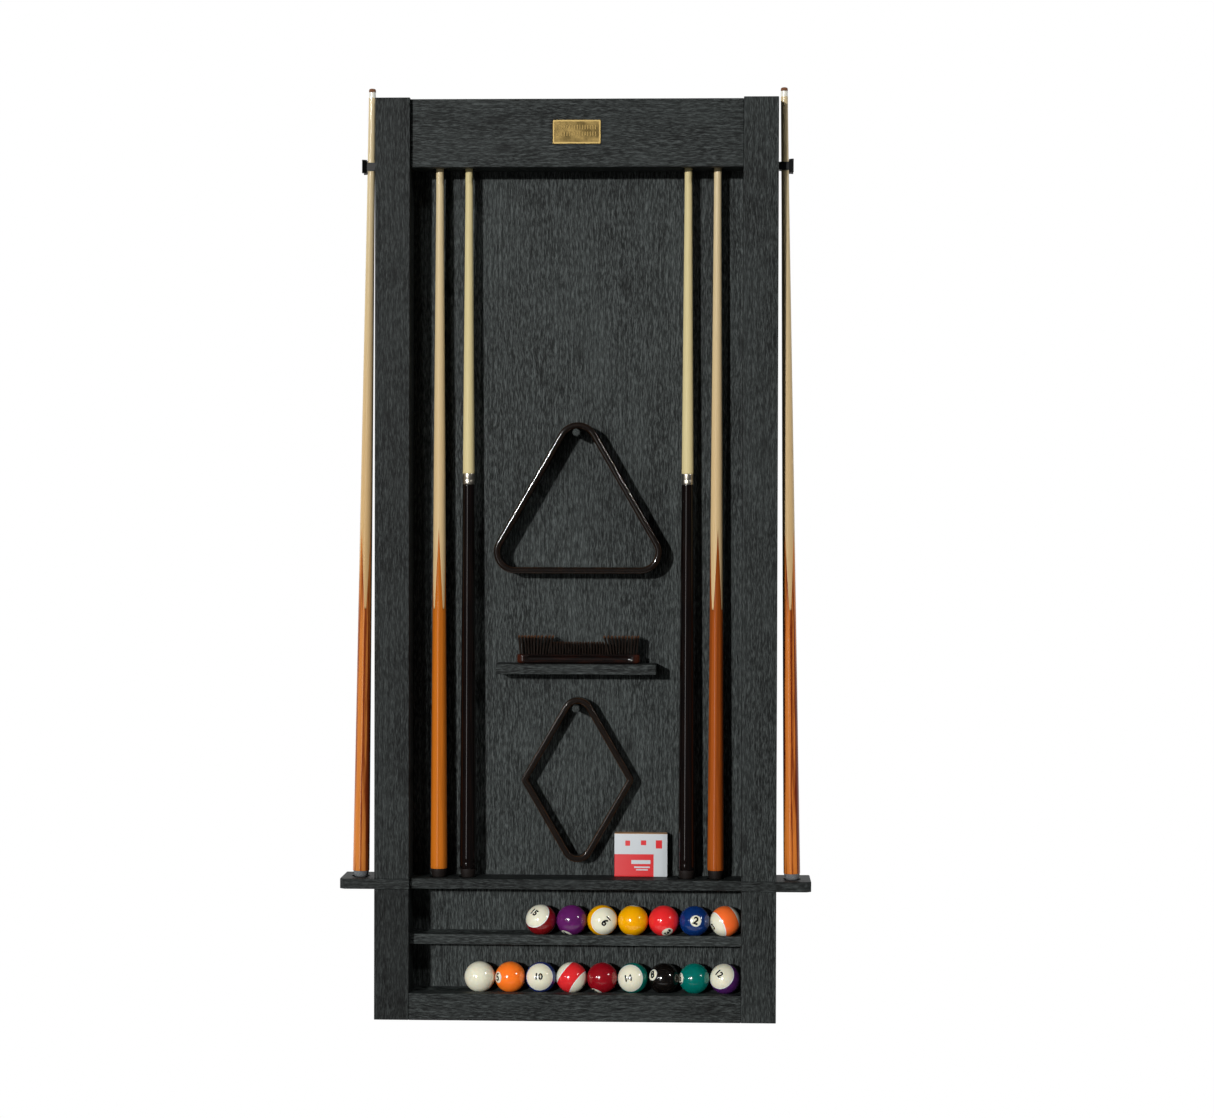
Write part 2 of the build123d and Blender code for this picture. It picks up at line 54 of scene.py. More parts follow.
STAIN_DARK = "#121514"
STAIN_MID = "#272B2A"
STAIN_PALE = "#4B504F"
PORE = "#050606"
STREAK_WIDTH = 0.0016
STREAK_LENGTH = 0.013
PORE_WIDTH = 0.0016
PORE_LENGTH = 0.030
WAVE_SPACING = 0.10
WAVE_DRIFT = 0.010
FIGURE_WIDTH = 0.032
FIGURE_LENGTH = 0.60
PATCH_WIDTH = 0.055
PATCH_LENGTH = 0.16
KNOT_SPACING = 0.17
KNOT_LENGTH = 0.36
GRAIN_HEIGHT = 0.00022


def linear(code):
    """Linear RGBA of an sRGB hex colour."""
    levels = np.array([int(code[i : i + 2], 16) for i in (1, 3, 5)]) / 255
    levels = np.where(levels <= 0.04045, levels / 12.92, ((levels + 0.055) / 1.055) ** 2.4)
    return (*levels.tolist(), 1.0)


def add(tree, kind, inputs=(), give=None, **settings):
    """Add one node and return its first output, or the one that give names.

    Inputs are a dict keyed by name, or a list in the order of the node's live sockets, such as value, old
    ends and new ends. A socket is linked, a hex colour is made linear, and any other value is set.
    """
    node = tree.nodes.new(f"ShaderNode{kind}")
    for name, value in settings.items():
        setattr(node, name, value)
    live = [socket for socket in node.inputs if socket.enabled]
    for key, value in inputs.items() if isinstance(inputs, dict) else enumerate(inputs):
        socket = live[key] if isinstance(key, int) else next(s for s in live if s.name == key)
        if isinstance(value, bpy.types.NodeSocket):
            tree.links.new(value, socket)
        else:
            socket.default_value = linear(value) if isinstance(value, str) else value
    outputs = [socket for socket in node.outputs if socket.enabled and give in (None, socket.name)]
    return outputs[0] if outputs else node


def blank(name):
    """Material with an empty node tree, and that tree."""
    material = bpy.data.materials.new(name)
    material.use_nodes = True
    material.node_tree.nodes.clear()
    return material, material.node_tree


def shaded(material, tree, finish):
    """Close a material: one surface with this finish, joined to the output."""
    add(tree, "OutputMaterial", {"Surface": add(tree, "BsdfPrincipled", finish)})
    return material


def stretched(tree, place, width, length):
    """Coordinates that count one for each width across the grain (X and Y) and each length along it (Z)."""
    return add(tree, "Mapping", {"Vector": place, "Scale": (1 / width, 1 / width, 1 / length)})


def grain(tree, place, width, length, detail=3.0, roughness=0.6):
    """Blots about this wide, drawn out along Z to about this length, as pores, flecks and veins are."""
    drawn = stretched(tree, place, width, length)
    return add(tree, "TexNoise", {"Vector": drawn, "Scale": 1.0, "Detail": detail, "Roughness": roughness})


def stained_wood(name, turn, shift, depth):
    """Open-grained wood under charcoal stain, which settles dark in pores and leaves short pale flecks.

    The flecks and pores are drawn 1.6 mm wide so that they show. Turn brings the board's grain to Z,
    shift cuts it from its own part of the tree, and depth scales its colour darker as painted shade.
    """
    material, tree = blank(name)
    place = add(tree, "TexCoord", give="Object")
    straight = add(tree, "Mapping", {"Vector": place, "Location": shift, "Rotation": turn})
    drift = add(tree, "TexNoise", {"Vector": straight, "Scale": 1 / WAVE_SPACING, "Detail": 2.0},
        give="Color")
    board = add(tree, "VectorMath", [drift, (WAVE_DRIFT, WAVE_DRIFT, 0.0), straight],
        operation="MULTIPLY_ADD")
    fleck = grain(tree, board, STREAK_WIDTH, STREAK_LENGTH, 4.0, 0.68)
    pore = grain(tree, board, PORE_WIDTH, PORE_LENGTH, 1.0, 0.5)
    patch = grain(tree, board, PATCH_WIDTH, PATCH_LENGTH, 3.0, 0.55)
    figure = add(tree, "TexWave", {"Vector": stretched(tree, board, FIGURE_WIDTH, FIGURE_LENGTH),
            "Scale": 1.0, "Distortion": 5.0, "Detail": 2.0, "Detail Scale": 1.4}, give="Fac",
        bands_direction="X")
    axes = add(tree, "SeparateXYZ",
        {"Vector": stretched(tree, board, KNOT_SPACING, KNOT_LENGTH)}).node.outputs
    face = add(tree, "CombineXYZ", {"X": axes["X"], "Y": axes["Z"]})
    knot = add(tree, "TexVoronoi", {"Vector": face, "Scale": 1.0}, give="Distance", voronoi_dimensions="2D")
    pale = add(tree, "MapRange", [fleck, 0.44, 0.62])
    dark = add(tree, "MapRange", [pore, 0.56, 0.70, 0, 0.8])
    shade = add(tree, "MapRange", [patch, 0.38, 0.62])
    # Depth darkens the board's whole colour here, as painted shade.
    ring = add(tree, "MapRange", [figure, 0, 1, 0.80 * depth, 1.16 * depth])
    heart = add(tree, "MapRange", [knot, 0.01, 0.07, 0.4])
    tone = add(tree, "Math", [ring, heart], operation="MULTIPLY")
    ground = add(tree, "Mix", [shade, STAIN_DARK, STAIN_MID], data_type="RGBA")
    flecked = add(tree, "Mix", [pale, ground, STAIN_PALE], data_type="RGBA")
    pored = add(tree, "Mix", [dark, flecked, PORE], data_type="RGBA")
    stained_and_shaded = add(tree, "VectorMath", [pored, tone], operation="SCALE")
    relief = add(tree, "Math", [pale, dark], operation="SUBTRACT")
    bump = add(tree, "Bump", {"Strength": 0.35, "Distance": GRAIN_HEIGHT, "Height": relief})
    satin = add(tree, "MapRange", [fleck, 0, 1, 0.62, 0.44])
    return shaded(material, tree, {"Base Color": stained_and_shaded, "Roughness": satin, "IOR": 1.48,
            "Specular IOR Level": 0.12, "Normal": bump})


def finish_node(node, material):
    """Give a CAD node its finish, in the slot that it already has."""
    nodes[node].material_slots[0].material = material


UPRIGHT = (0.0, 0.0, 0.0)
LEVEL = (0.0, math.radians(90), 0.0)
# The last number scales each board's colour darker as painted shade, darkest on the left posts.
BOARDS = {
    "left_lower_post": (UPRIGHT, (3.1, 0.2, 0.7), 0.38),
    "right_lower_post": (UPRIGHT, (5.3, 1.1, 2.2), 0.61),
    "left_upper_post": (UPRIGHT, (7.7, 2.4, 1.3), 0.56),
    "right_upper_post": (UPRIGHT, (9.2, 3.6, 4.9), 0.72),
    "back_panel": (UPRIGHT, (12.4, 4.5, 6.1), 1.00),
    "header_board": (LEVEL, (1.6, 5.2, 3.3), 0.76),
    "cue_board": (LEVEL, (2.8, 6.9, 8.4), 0.80),
    "cue_shelf": (LEVEL, (4.4, 7.3, 5.5), 0.53),
    "upper_ball_shelf": (LEVEL, (6.5, 8.8, 7.6), 0.78),
    "lower_ball_shelf": (LEVEL, (8.1, 9.4, 9.9), 0.80),
    "bottom_rail": (LEVEL, (10.9, 10.5, 0.4), 0.64),
    "brush_shelf": (LEVEL, (13.3, 11.7, 2.7), 0.70),
}
for node, (turn, shift, depth) in BOARDS.items():
    finish_node(node, stained_wood(f"charcoal_stained_wood_{node}", turn, shift, depth))

# --- Hanging cleats, dowels ----------------------------------------------------------------------
# Two bevelled pine boards behind the panel hook the rack onto the wall, and fluted beech dowels tie the
# posts through the shelf. None of it is stained or lacquered.

PINE_EARLY = "#D9B98A"
PINE_LATE = "#A9763F"
PINE_RING = 0.006
PINE_RUN = 0.50
BEECH = "#C99A6B"
BEECH_FLECK = "#9C6B42"
BEECH_FLECK_WIDTH = 0.0008
BEECH_FLECK_LENGTH = 0.004


def bare_wood(name, turn, early, late, width, length):
    """Unfinished softwood or beech: darker late wood in rings or flecks, dry and rough."""
    material, tree = blank(name)
    place = add(tree, "TexCoord", give="Object")
    board = add(tree, "Mapping", {"Vector": place, "Rotation": turn})
    rings = grain(tree, board, width, length, 4.0)
    share = add(tree, "MapRange", [rings, 0.42, 0.70])
    colour = add(tree, "Mix", [share, early, late], data_type="RGBA")
    bump = add(tree, "Bump", {"Strength": 0.3, "Distance": GRAIN_HEIGHT, "Height": rings})
    return shaded(material, tree, {"Base Color": colour, "Roughness": 0.75, "Normal": bump})


sawn_pine = bare_wood("sawn_pine", LEVEL, PINE_EARLY, PINE_LATE, PINE_RING, PINE_RUN)
finish_node("wall_cleat", sawn_pine)
finish_node("rack_cleat", sawn_pine)
beech = bare_wood("beech_dowel", UPRIGHT, BEECH, BEECH_FLECK, BEECH_FLECK_WIDTH, BEECH_FLECK_LENGTH)
finish_node("post_dowels", beech)

# --- Nameplate -----------------------------------------------------------------------------------
# Stamped brass plate: a raised polished border round a stippled ground that has gone dull with age, with
# two raised rows of plain upright reeds.

BRASS = "#9C8553"
BRASS_DULL = "#4E4126"
STIPPLE = 0.0016
TARNISH_PER_METRE = 60.0
RELIEF = 0.0006
BORDER_EDGE = (-0.0006, 0.0002)
REED_PITCH = 0.0048
REED_REACH = 0.0365
REED_MIDDLE = 0.0025
REED_OFFSET = 0.0062
REED_HALF = 0.0042
PLATE_HALF = (0.0413, 0.01905)
PLATE_Z = 1.645


def stamped_brass():
    """Brass, polished on the border, dull inside it under a stipple drawn 1.6 mm wide so that it shows."""
    material, tree = blank("stamped_brass")
    place = add(tree, "TexCoord", give="Object")
    plate = add(tree, "Mapping", {"Vector": place, "Location": (0.0, 0.0, -PLATE_Z)})
    axes = add(tree, "SeparateXYZ", {"Vector": plate}).node.outputs
    beyond = []
    for axis, half in (("X", PLATE_HALF[0]), ("Z", PLATE_HALF[1])):
        out = add(tree, "Math", [axes[axis]], operation="ABSOLUTE")
        beyond.append(add(tree, "Math", [out, half], operation="SUBTRACT"))
    outside = add(tree, "Math", [beyond[0], beyond[1]], operation="MAXIMUM")
    border = add(tree, "MapRange", [outside, *BORDER_EDGE])
    stipple = add(tree, "TexNoise", {"Vector": plate, "Scale": 1 / STIPPLE, "Detail": 2.0})
    tarnish = add(tree, "TexNoise", {"Vector": plate, "Scale": TARNISH_PER_METRE, "Detail": 3.0})
    dull = add(tree, "MapRange", [tarnish, 0.35, 0.65, 0, 0.8])
    level = add(tree, "Math", [axes["Z"], REED_MIDDLE], operation="SUBTRACT")
    distance = add(tree, "Math", [level], operation="ABSOLUTE")
    row = add(tree, "Math", [distance, REED_OFFSET, REED_HALF], operation="COMPARE")
    sideways = add(tree, "Math", [axes["X"], 0.0, REED_REACH], operation="COMPARE")
    beat = add(tree, "Math", [axes["X"], 2 * math.pi / REED_PITCH], operation="MULTIPLY")
    wave = add(tree, "Math", [beat], operation="SINE")
    crest = add(tree, "MapRange", [wave, -0.3, 0.3])
    in_row = add(tree, "Math", [row, sideways], operation="MULTIPLY")
    reed = add(tree, "Math", [in_row, crest], operation="MULTIPLY")
    ground = add(tree, "Mix", [dull, BRASS, BRASS_DULL], data_type="RGBA")
    raised = add(tree, "Math", [reed, border], operation="MAXIMUM")
    colour = add(tree, "Mix", [raised, ground, BRASS], data_type="RGBA")
    smooth = add(tree, "MapRange", [border, 0, 1, 0.62, 0.42])
    strength = add(tree, "MapRange", [border, 0, 1, 0.9, 0.05])
    height = add(tree, "Math", [stipple, 0.6, reed], operation="MULTIPLY_ADD")
    bump = add(tree, "Bump", {"Strength": strength, "Distance": RELIEF, "Height": height})
    return shaded(material, tree, {"Base Color": colour, "Metallic": 1.0, "Roughness": smooth,
            "Normal": bump})


finish_node("nameplate", stamped_brass())

# --- Hanging pegs and clips ----------------------------------------------------------------------
# Turned pegs stained with the cabinet carry the ball racks. Spring clips moulded in black nylon hold the
# outer cues, each fixed by one zinc-plated countersunk screw.

NYLON = "#0B0B0C"
NYLON_GRAIN = 0.0011
FINE_RELIEF = 0.0001
TURNING_PER_METRE = 900.0
ZINC = "#A9ADB0"


def moulded_nylon():
    """Black moulded nylon: even colour under a fine spark-eroded grain, drawn at about 1 mm so it shows."""
    material, tree = blank("black_nylon")
    place = add(tree, "TexCoord", give="Object")
    spark = add(tree, "TexNoise", {"Vector": place, "Scale": 1 / NYLON_GRAIN, "Detail": 2.0})
    bump = add(tree, "Bump", {"Strength": 0.25, "Distance": FINE_RELIEF, "Height": spark})
    gloss = add(tree, "MapRange", [spark, 0, 1, 0.32, 0.44])
    return shaded(material, tree, {"Base Color": NYLON, "Roughness": gloss, "Specular IOR Level": 0.25,
            "Normal": bump})


def plated_steel():
    """Zinc-plated steel: cool grey, with marks of turning that are drawn at about 1 mm so they show."""
    material, tree = blank("zinc_plated_steel")
    place = add(tree, "TexCoord", give="Object")
    lines = add(tree, "TexNoise", {"Vector": place, "Scale": TURNING_PER_METRE, "Detail": 2.0})
    gloss = add(tree, "MapRange", [lines, 0, 1, 0.25, 0.42])
    return shaded(material, tree, {"Base Color": ZINC, "Metallic": 1.0, "Roughness": gloss})


peg_wood = stained_wood("charcoal_stained_peg", (math.radians(90), 0.0, 0.0), (14.2, 12.6, 3.9), 1.0)
finish_node("hanging_pegs", peg_wood)
finish_node("cue_clips", moulded_nylon())
finish_node("clip_screws", plated_steel())

# --- Cues ----------------------------------------------------------------------------------------
# Four one-piece house cues of lacquered maple, spliced with four long points into a hardwood butt, and
# two jointed cues with a pale shaft, a steel collar and a dark butt. All have a rubber bumper and a
# leather tip.

CUE_Y = -0.006
FOOT_Z = 0.2583
BUTT_R = 0.0156
BUTT_EDGE = 0.0008
MID_R = 0.0106
MID_AT = 0.800
SHAFT_R = 0.0073
SHAFT_AT = 1.250
TIP_R = 0.0065
FERRULE = 0.0105
LEATHER = 0.007
JOINT_AT = 0.7565
JOINT_R = 0.0109
COLLAR = 0.020
COLLAR_STEP = 0.00035
BUMPER_DOME_R = 0.020
BUMPER_FOOT_R = 0.0122
BUMPER_TOP_R = 0.0146
CUE_SLICES = 64
GREY_RUBBER = "#5A5C5E"
GREY_DUST = "#8A8D90"
BLACK_RUBBER = "#110C0A"
BLACK_DUST = "#201814"
LEATHER_DARK = "#4A2A18"
LEATHER_PALE = "#8A5836"
FERRULE_WHITE = "#E4E2D6"
EBONY = "#080505"
EBONY_VEIN = "#1C100B"
EBONY_LINE = (0.0018, 0.09)
STEEL = "#D0C9BA"
SHAFT_PALE = "#CFC08F"
SHAFT_GRAIN = "#AB9966"
SHAFT_LINE = (0.0009, 0.06)
RUBBER_PER_METRE = 700.0
FIBRES_PER_METRE = 1400.0
HIDE_RELIEF = 0.0002
TIP_CLEAR = 0.00012
TIP_BEVEL = 0.0003
TIP_CROWN = 0.31


def shown(name, data):
    """Object with this mesh, text, lamp or camera, put in the scene."""
    item = bpy.data.objects.new(name, data)
    bpy.context.collection.objects.link(item)
    return item


def smooth_mesh(name, vertices, faces):
    """Mesh shaded smooth, except across edges of more than 40 degrees."""
    mesh = bpy.data.meshes.new(name)
    mesh.from_pydata(vertices.tolist(), [], faces)
    mesh.shade_smooth()
    mesh.set_sharp_from_angle(angle=math.radians(40))
    return mesh


def mark(mesh, name, values):
    """Give each point of a mesh a number or a vector of its own, for its material to follow."""
    kind, field = ("FLOAT", "value") if values.ndim == 1 else ("FLOAT_VECTOR", "vector")
    mesh.attributes.new(name, kind, "POINT").data.foreach_set(field, values.astype(np.float32).ravel())


def surface(name, points, ends=None, own=None):
    """Piece from a grid of points whose every row is a closed loop.

    With two end points the first and last rows close to them; without them the last row joins the first.
    Own gives each point, ends last, a vector that the finish follows.
    """
    rows, columns = points.shape[:2]
    index = np.arange(rows * columns).reshape(rows, columns)
    after = np.roll(index, -1, axis=1)
    if ends is None:
        lower, upper = (index, after), (np.roll(index, -1, axis=0), np.roll(after, -1, axis=0))
    else:
        lower, upper = (index[:-1], after[:-1]), (index[1:], after[1:])
    faces = np.stack([lower[0], lower[1], upper[1], upper[0]], axis=-1).reshape(-1, 4).tolist()
    vertices = points.reshape(-1, 3)
    if ends is not None:
        first, last = rows * columns, rows * columns + 1
        vertices = np.vstack([vertices, ends])
        faces += np.column_stack([after[0], index[0], np.full(columns, first)]).tolist()
        faces += np.column_stack([index[-1], after[-1], np.full(columns, last)]).tolist()
    mesh = smooth_mesh(name, vertices, faces)
    if own is not None:
        mark(mesh, "own", own)
    return shown(name, mesh)


def placed(piece, material, body, slot, *stands_for):
    """Finish a piece, hang it on its body and hide the CAD nodes that it stands for."""
    piece.data.materials.append(material)
    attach(piece, body)
    if stands_for:
        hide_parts(*stands_for)
    return piece


def turned(name, foot, lean, heights, radii):
    """Surface of revolution: at height h the point is (r(h) cos a, r(h) sin a, h) in the cue's own frame,
    leant over by turning about Y, and stood on its foot. Own keeps the point before it is leant."""
    angle = np.linspace(0, 2 * math.pi, CUE_SLICES, endpoint=False)
    heights, radii = np.asarray(heights, float), np.asarray(radii, float)
    grid = np.stack([radii[:, None] * np.cos(angle), radii[:, None] * np.sin(angle),
            heights[:, None] + 0 * angle], axis=-1)
    ends = np.array([(0, 0, heights[0]), (0, 0, heights[-1])])
    own = np.vstack([grid.reshape(-1, 3), ends])
    across = np.array([math.cos(lean), 0, math.sin(lean)])
    along = np.array([-math.sin(lean), 0, math.cos(lean)])
    leant = foot + own[:, :1] * across + own[:, 1:2] * np.array([0, 1, 0]) + own[:, 2:] * along
    return surface(name, leant[:-2].reshape(grid.shape), leant[-2:], own)


def taper(heights):
    """Radius of a house cue at each height: straight tapers, eased into each other over about 150 mm."""
    fine = np.linspace(-0.2, 1.7, 1901)
    straight = np.interp(fine, (0.0, MID_AT, SHAFT_AT, 1.48), (BUTT_R, MID_R, SHAFT_R, TIP_R))
    window = np.hanning(151)
    eased = np.convolve(np.pad(straight, 75, mode="edge"), window / window.sum(), mode="valid")
    return np.minimum(np.interp(heights, fine, eased), BUTT_R)


def rubber(name, colour, fleck):
    """Moulded rubber: matt, slightly mottled, with dust in its fine grain."""
    material, tree = blank(name)
    own = add(tree, "Attribute", give="Vector", attribute_name="own")
    mottle = add(tree, "TexNoise", {"Vector": own, "Scale": RUBBER_PER_METRE, "Detail": 3.0})
    share = add(tree, "MapRange", [mottle, 0.45, 0.75])
    tone = add(tree, "Mix", [share, colour, fleck], data_type="RGBA")
    bump = add(tree, "Bump", {"Strength": 0.3, "Distance": FINE_RELIEF, "Height": mottle})
    return shaded(material, tree, {"Base Color": tone, "Roughness": 0.62, "Specular IOR Level": 0.2,
            "Normal": bump})


def ferrule_and_leather():
    """Glossy ivory-white ferrule below a pressed leather pad, whose rough crown is dark with use."""
    material, tree = blank("ferrule_and_leather")
    own = add(tree, "Attribute", give="Vector", attribute_name="own")
    mask = add(tree, "Attribute", give="Fac", attribute_name="leather")
    fibre = add(tree, "TexNoise", {"Vector": own, "Scale": FIBRES_PER_METRE, "Detail": 4.0})
    hide = add(tree, "Mix", [fibre, LEATHER_DARK, LEATHER_PALE], data_type="RGBA")
    colour = add(tree, "Mix", [mask, FERRULE_WHITE, hide], data_type="RGBA")
    rough = add(tree, "MapRange", [mask, 0, 1, 0.22, 0.85])
    bump = add(tree, "Bump", {"Strength": mask, "Distance": HIDE_RELIEF, "Height": fibre})
    return shaded(material, tree, {"Base Color": colour, "Roughness": rough, "Normal": bump})


MAPLE_PALE = "#CFBC93"
MAPLE_WARM = "#CDA873"
MAPLE_STREAK = "#A27B45"
SPLICE_LOW = 0.5047
SPLICE_HIGH = 0.6547
SPLICE_BLUNT = 0.18
GLUE_HALF = 0.0008
MAPLE_LINE = (0.0011, 0.045)
MAPLE_VEIN = (0.0075, 0.42)


def house_cue_wood(name, spike, butt, butt_streak, streaking, warmth):
    """Lacquered maple spliced into a hardwood butt.

    Round the cue the joint rises and falls four times between SPLICE_LOW and SPLICE_HIGH as a triangle
    wave. Spike is the angle of one butt point, and the maple points end blunt.
    """
    material, tree = blank(name)
    own = add(tree, "Attribute", give="Vector", attribute_name="own")
    axes = add(tree, "SeparateXYZ", {"Vector": own}).node.outputs
    angle = add(tree, "Math", [axes["Y"], axes["X"]], operation="ARCTAN2")
    quarter = add(tree, "Math", [angle, 2 / math.pi, -spike * 2 / math.pi + 8], operation="MULTIPLY_ADD")
    away = add(tree, "Math", [quarter, 0.5], operation="PINGPONG")
    joint = add(tree, "MapRange", [away, 0.0, 0.5 * (1 - SPLICE_BLUNT), SPLICE_HIGH, SPLICE_LOW])
    above = add(tree, "Math", [axes["Z"], joint], operation="SUBTRACT")
    maple_share = add(tree, "MapRange", [above, -GLUE_HALF, GLUE_HALF])
    off = add(tree, "Math", [above], operation="ABSOLUTE")
    glue = add(tree, "MapRange", [off, 0.0015, 0.0045, 0.72, 1])
    fine = grain(tree, own, *MAPLE_LINE)
    broad = add(tree, "TexNoise", {"Vector": stretched(tree, own, *MAPLE_VEIN), "Scale": 1.0,
            "Detail": 3.0, "Distortion": 1.0})
    height = add(tree, "MapRange", [axes["Z"], 1.30, 0.62, 0, warmth])
    plain = add(tree, "Mix", [height, MAPLE_PALE, MAPLE_WARM], data_type="RGBA")
    line = add(tree, "MapRange", [fine, 0.55, 0.85, 0, 0.45])
    maple = add(tree, "Mix", [line, plain, MAPLE_STREAK], data_type="RGBA")
    both = add(tree, "Math", [fine, 0.25, broad], operation="MULTIPLY_ADD")
    vein = add(tree, "MapRange", [both, 0.58, 0.72, 0, streaking])
    hardwood = add(tree, "Mix", [vein, butt, butt_streak], data_type="RGBA")
    joined = add(tree, "Mix", [maple_share, hardwood, maple], data_type="RGBA")
    colour = add(tree, "VectorMath", [joined, glue], operation="SCALE")
    return shaded(material, tree, {"Base Color": colour, "Roughness": 0.6, "IOR": 1.5,
            "Specular IOR Level": 0.05, "Coat Weight": 0.7, "Coat Roughness": 0.10})


def cue_ends(cue, foot, lean, length, bumper, finish, slot):
    """Bumper with its spherical foot, and the tip: ferrule, then a leather pad that bulges and is domed."""
    foot_angle = np.linspace(0.08, 1.0, 9) * math.asin(BUMPER_FOOT_R / BUMPER_DOME_R)
    dome_r, dome_h = BUMPER_DOME_R * np.sin(foot_angle), BUMPER_DOME_R * (1 - np.cos(foot_angle))
    side = np.linspace(0.12, 1.0, 7)
    heights = [*dome_h, *(dome_h[-1] + side * (bumper - dome_h[-1]))]
    radii = [*dome_r, *(BUMPER_FOOT_R + (BUMPER_TOP_R - BUMPER_FOOT_R) * np.sin(side * math.pi / 2))]
    heights[0], radii[0] = 0.00002, 0.001
    piece = turned(f"{cue}_rubber_bumper", foot, lean, heights, radii)
    placed(piece, finish, cue, slot, f"{cue}_bumper")

    pad = length - LEATHER
    pad_rise = np.array([0.0, 0.06, 0.25, 0.5, 0.69])
    pad_bulge = np.array([0.0, 0.00008, 0.00012, 0.00008, -TIP_BEVEL])
    crown = np.linspace(0, 1, 9)[1:-1]
    heights = [pad - FERRULE, pad - 0.0002, pad, *(pad + pad_rise[1:] * LEATHER),
        *(length - (1 - np.sin(crown * math.pi / 2)) * LEATHER * TIP_CROWN)]
    radii = [TIP_R - TIP_CLEAR, TIP_R - TIP_CLEAR, TIP_R - TIP_BEVEL, *(TIP_R - TIP_CLEAR + pad_bulge[1:]),
        *((TIP_R - 0.0004) * np.cos(crown * math.pi / 2))]
    piece = turned(f"{cue}_ferrule_and_pad", foot, lean, heights, radii)
    rows = np.repeat(np.array(heights) >= pad, CUE_SLICES)
    mark(piece.data, "leather", np.concatenate([rows, [0.0, 1.0]]))
    placed(piece, leather_tip, cue, "cue_tip", f"{cue}_tip")


leather_tip = ferrule_and_leather()
grey_rubber = rubber("grey_rubber", GREY_RUBBER, GREY_DUST)
black_rubber = rubber("black_rubber", BLACK_RUBBER, BLACK_DUST)

LEDGE = 0.0003
INNER_LENGTH = 1.448
INNER_BUMPER = 0.019
INNER = (INNER_LENGTH, INNER_BUMPER)
OUTER = (1.473, 0.014)
OUTER_LEAN = math.radians(0.76)
FACING = -math.pi / 2
HOUSE_CUES = {
    # x, lean, length and bumper height, angle of one butt point, butt and streak colours, streaking, warmth
    "left_outer_cue": (-0.4025, -OUTER_LEAN, *OUTER, FACING - 0.62, "#CA7A35", "#7A3010", 1.0, 1.0),
    "left_house_cue": (-0.2565, 0.0, *INNER, FACING, "#BC6718", "#96500F", 0.5, 0.6),
    "right_house_cue": (0.2605, 0.0, *INNER, FACING + 0.20, "#9A4A12", "#6E300A", 0.6, 0.6),
    "right_outer_cue": (0.4025, OUTER_LEAN, *OUTER, FACING + 0.90, "#CC752E", "#6A220A", 1.0, 0.8),
}
for cue, (x, lean, length, bumper, spike, butt, streak, streaking, warmth) in HOUSE_CUES.items():
    foot = np.array([x, CUE_Y, FOOT_Z])
    top = length - LEATHER - FERRULE
    heights = [bumper, bumper + LEDGE, bumper + BUTT_EDGE, *np.linspace(bumper + 0.004, top, 150)]
    radii = taper(heights)
    radii[:2] = BUTT_R - BUTT_EDGE, BUTT_R - BUTT_EDGE * 0.35
    stick = turned(f"{cue}_spliced_stick", foot, lean, heights, radii)
    wood = house_cue_wood(f"{cue}_maple_and_hardwood", spike, butt, streak, streaking, warmth)
    placed(stick, wood, cue, "house_cue_wood", f"{cue}_stick")
    finish, slot = (grey_rubber, "grey_rubber") if "outer" in cue else (black_rubber, "black_rubber")
    cue_ends(cue, foot, lean, length, bumper, finish, slot)


def dark_butt_wood():
    """Ebony-brown butt under thick gloss lacquer, with a stainless steel collar at its upper end."""
    material, tree = blank("dark_butt_and_steel_collar")
    own = add(tree, "Attribute", give="Vector", attribute_name="own")
    height = add(tree, "SeparateXYZ", {"Vector": own}, give="Z")
    steel = add(tree, "Math", [height, JOINT_AT - COLLAR], operation="GREATER_THAN")
    vein = grain(tree, own, *EBONY_LINE, 4.0)
    share = add(tree, "MapRange", [vein, 0.48, 0.78])
    ebony = add(tree, "Mix", [share, EBONY, EBONY_VEIN], data_type="RGBA")
    colour = add(tree, "Mix", [steel, ebony, STEEL], data_type="RGBA")
    gloss = add(tree, "MapRange", [steel, 0, 1, 0.6, 0.34])
    return shaded(material, tree, {"Base Color": colour, "Metallic": steel, "Roughness": gloss,
            "Specular IOR Level": 0.0, "Coat Weight": 0.9, "Coat Roughness": 0.09})


def pale_shaft_wood():
    """Ivory-toned hard maple, ground almost smooth: fine straight grain under a thin clear coat."""
    material, tree = blank("sealed_hard_maple")
    own = add(tree, "Attribute", give="Vector", attribute_name="own")
    fine = grain(tree, own, *SHAFT_LINE)
    share = add(tree, "MapRange", [fine, 0.5, 0.85, 0, 0.6])
    colour = add(tree, "Mix", [share, SHAFT_PALE, SHAFT_GRAIN], data_type="RGBA")
    return shaded(material, tree, {"Base Color": colour, "Roughness": 0.55, "Specular IOR Level": 0.1,
            "Coat Weight": 0.4, "Coat Roughness": 0.07})


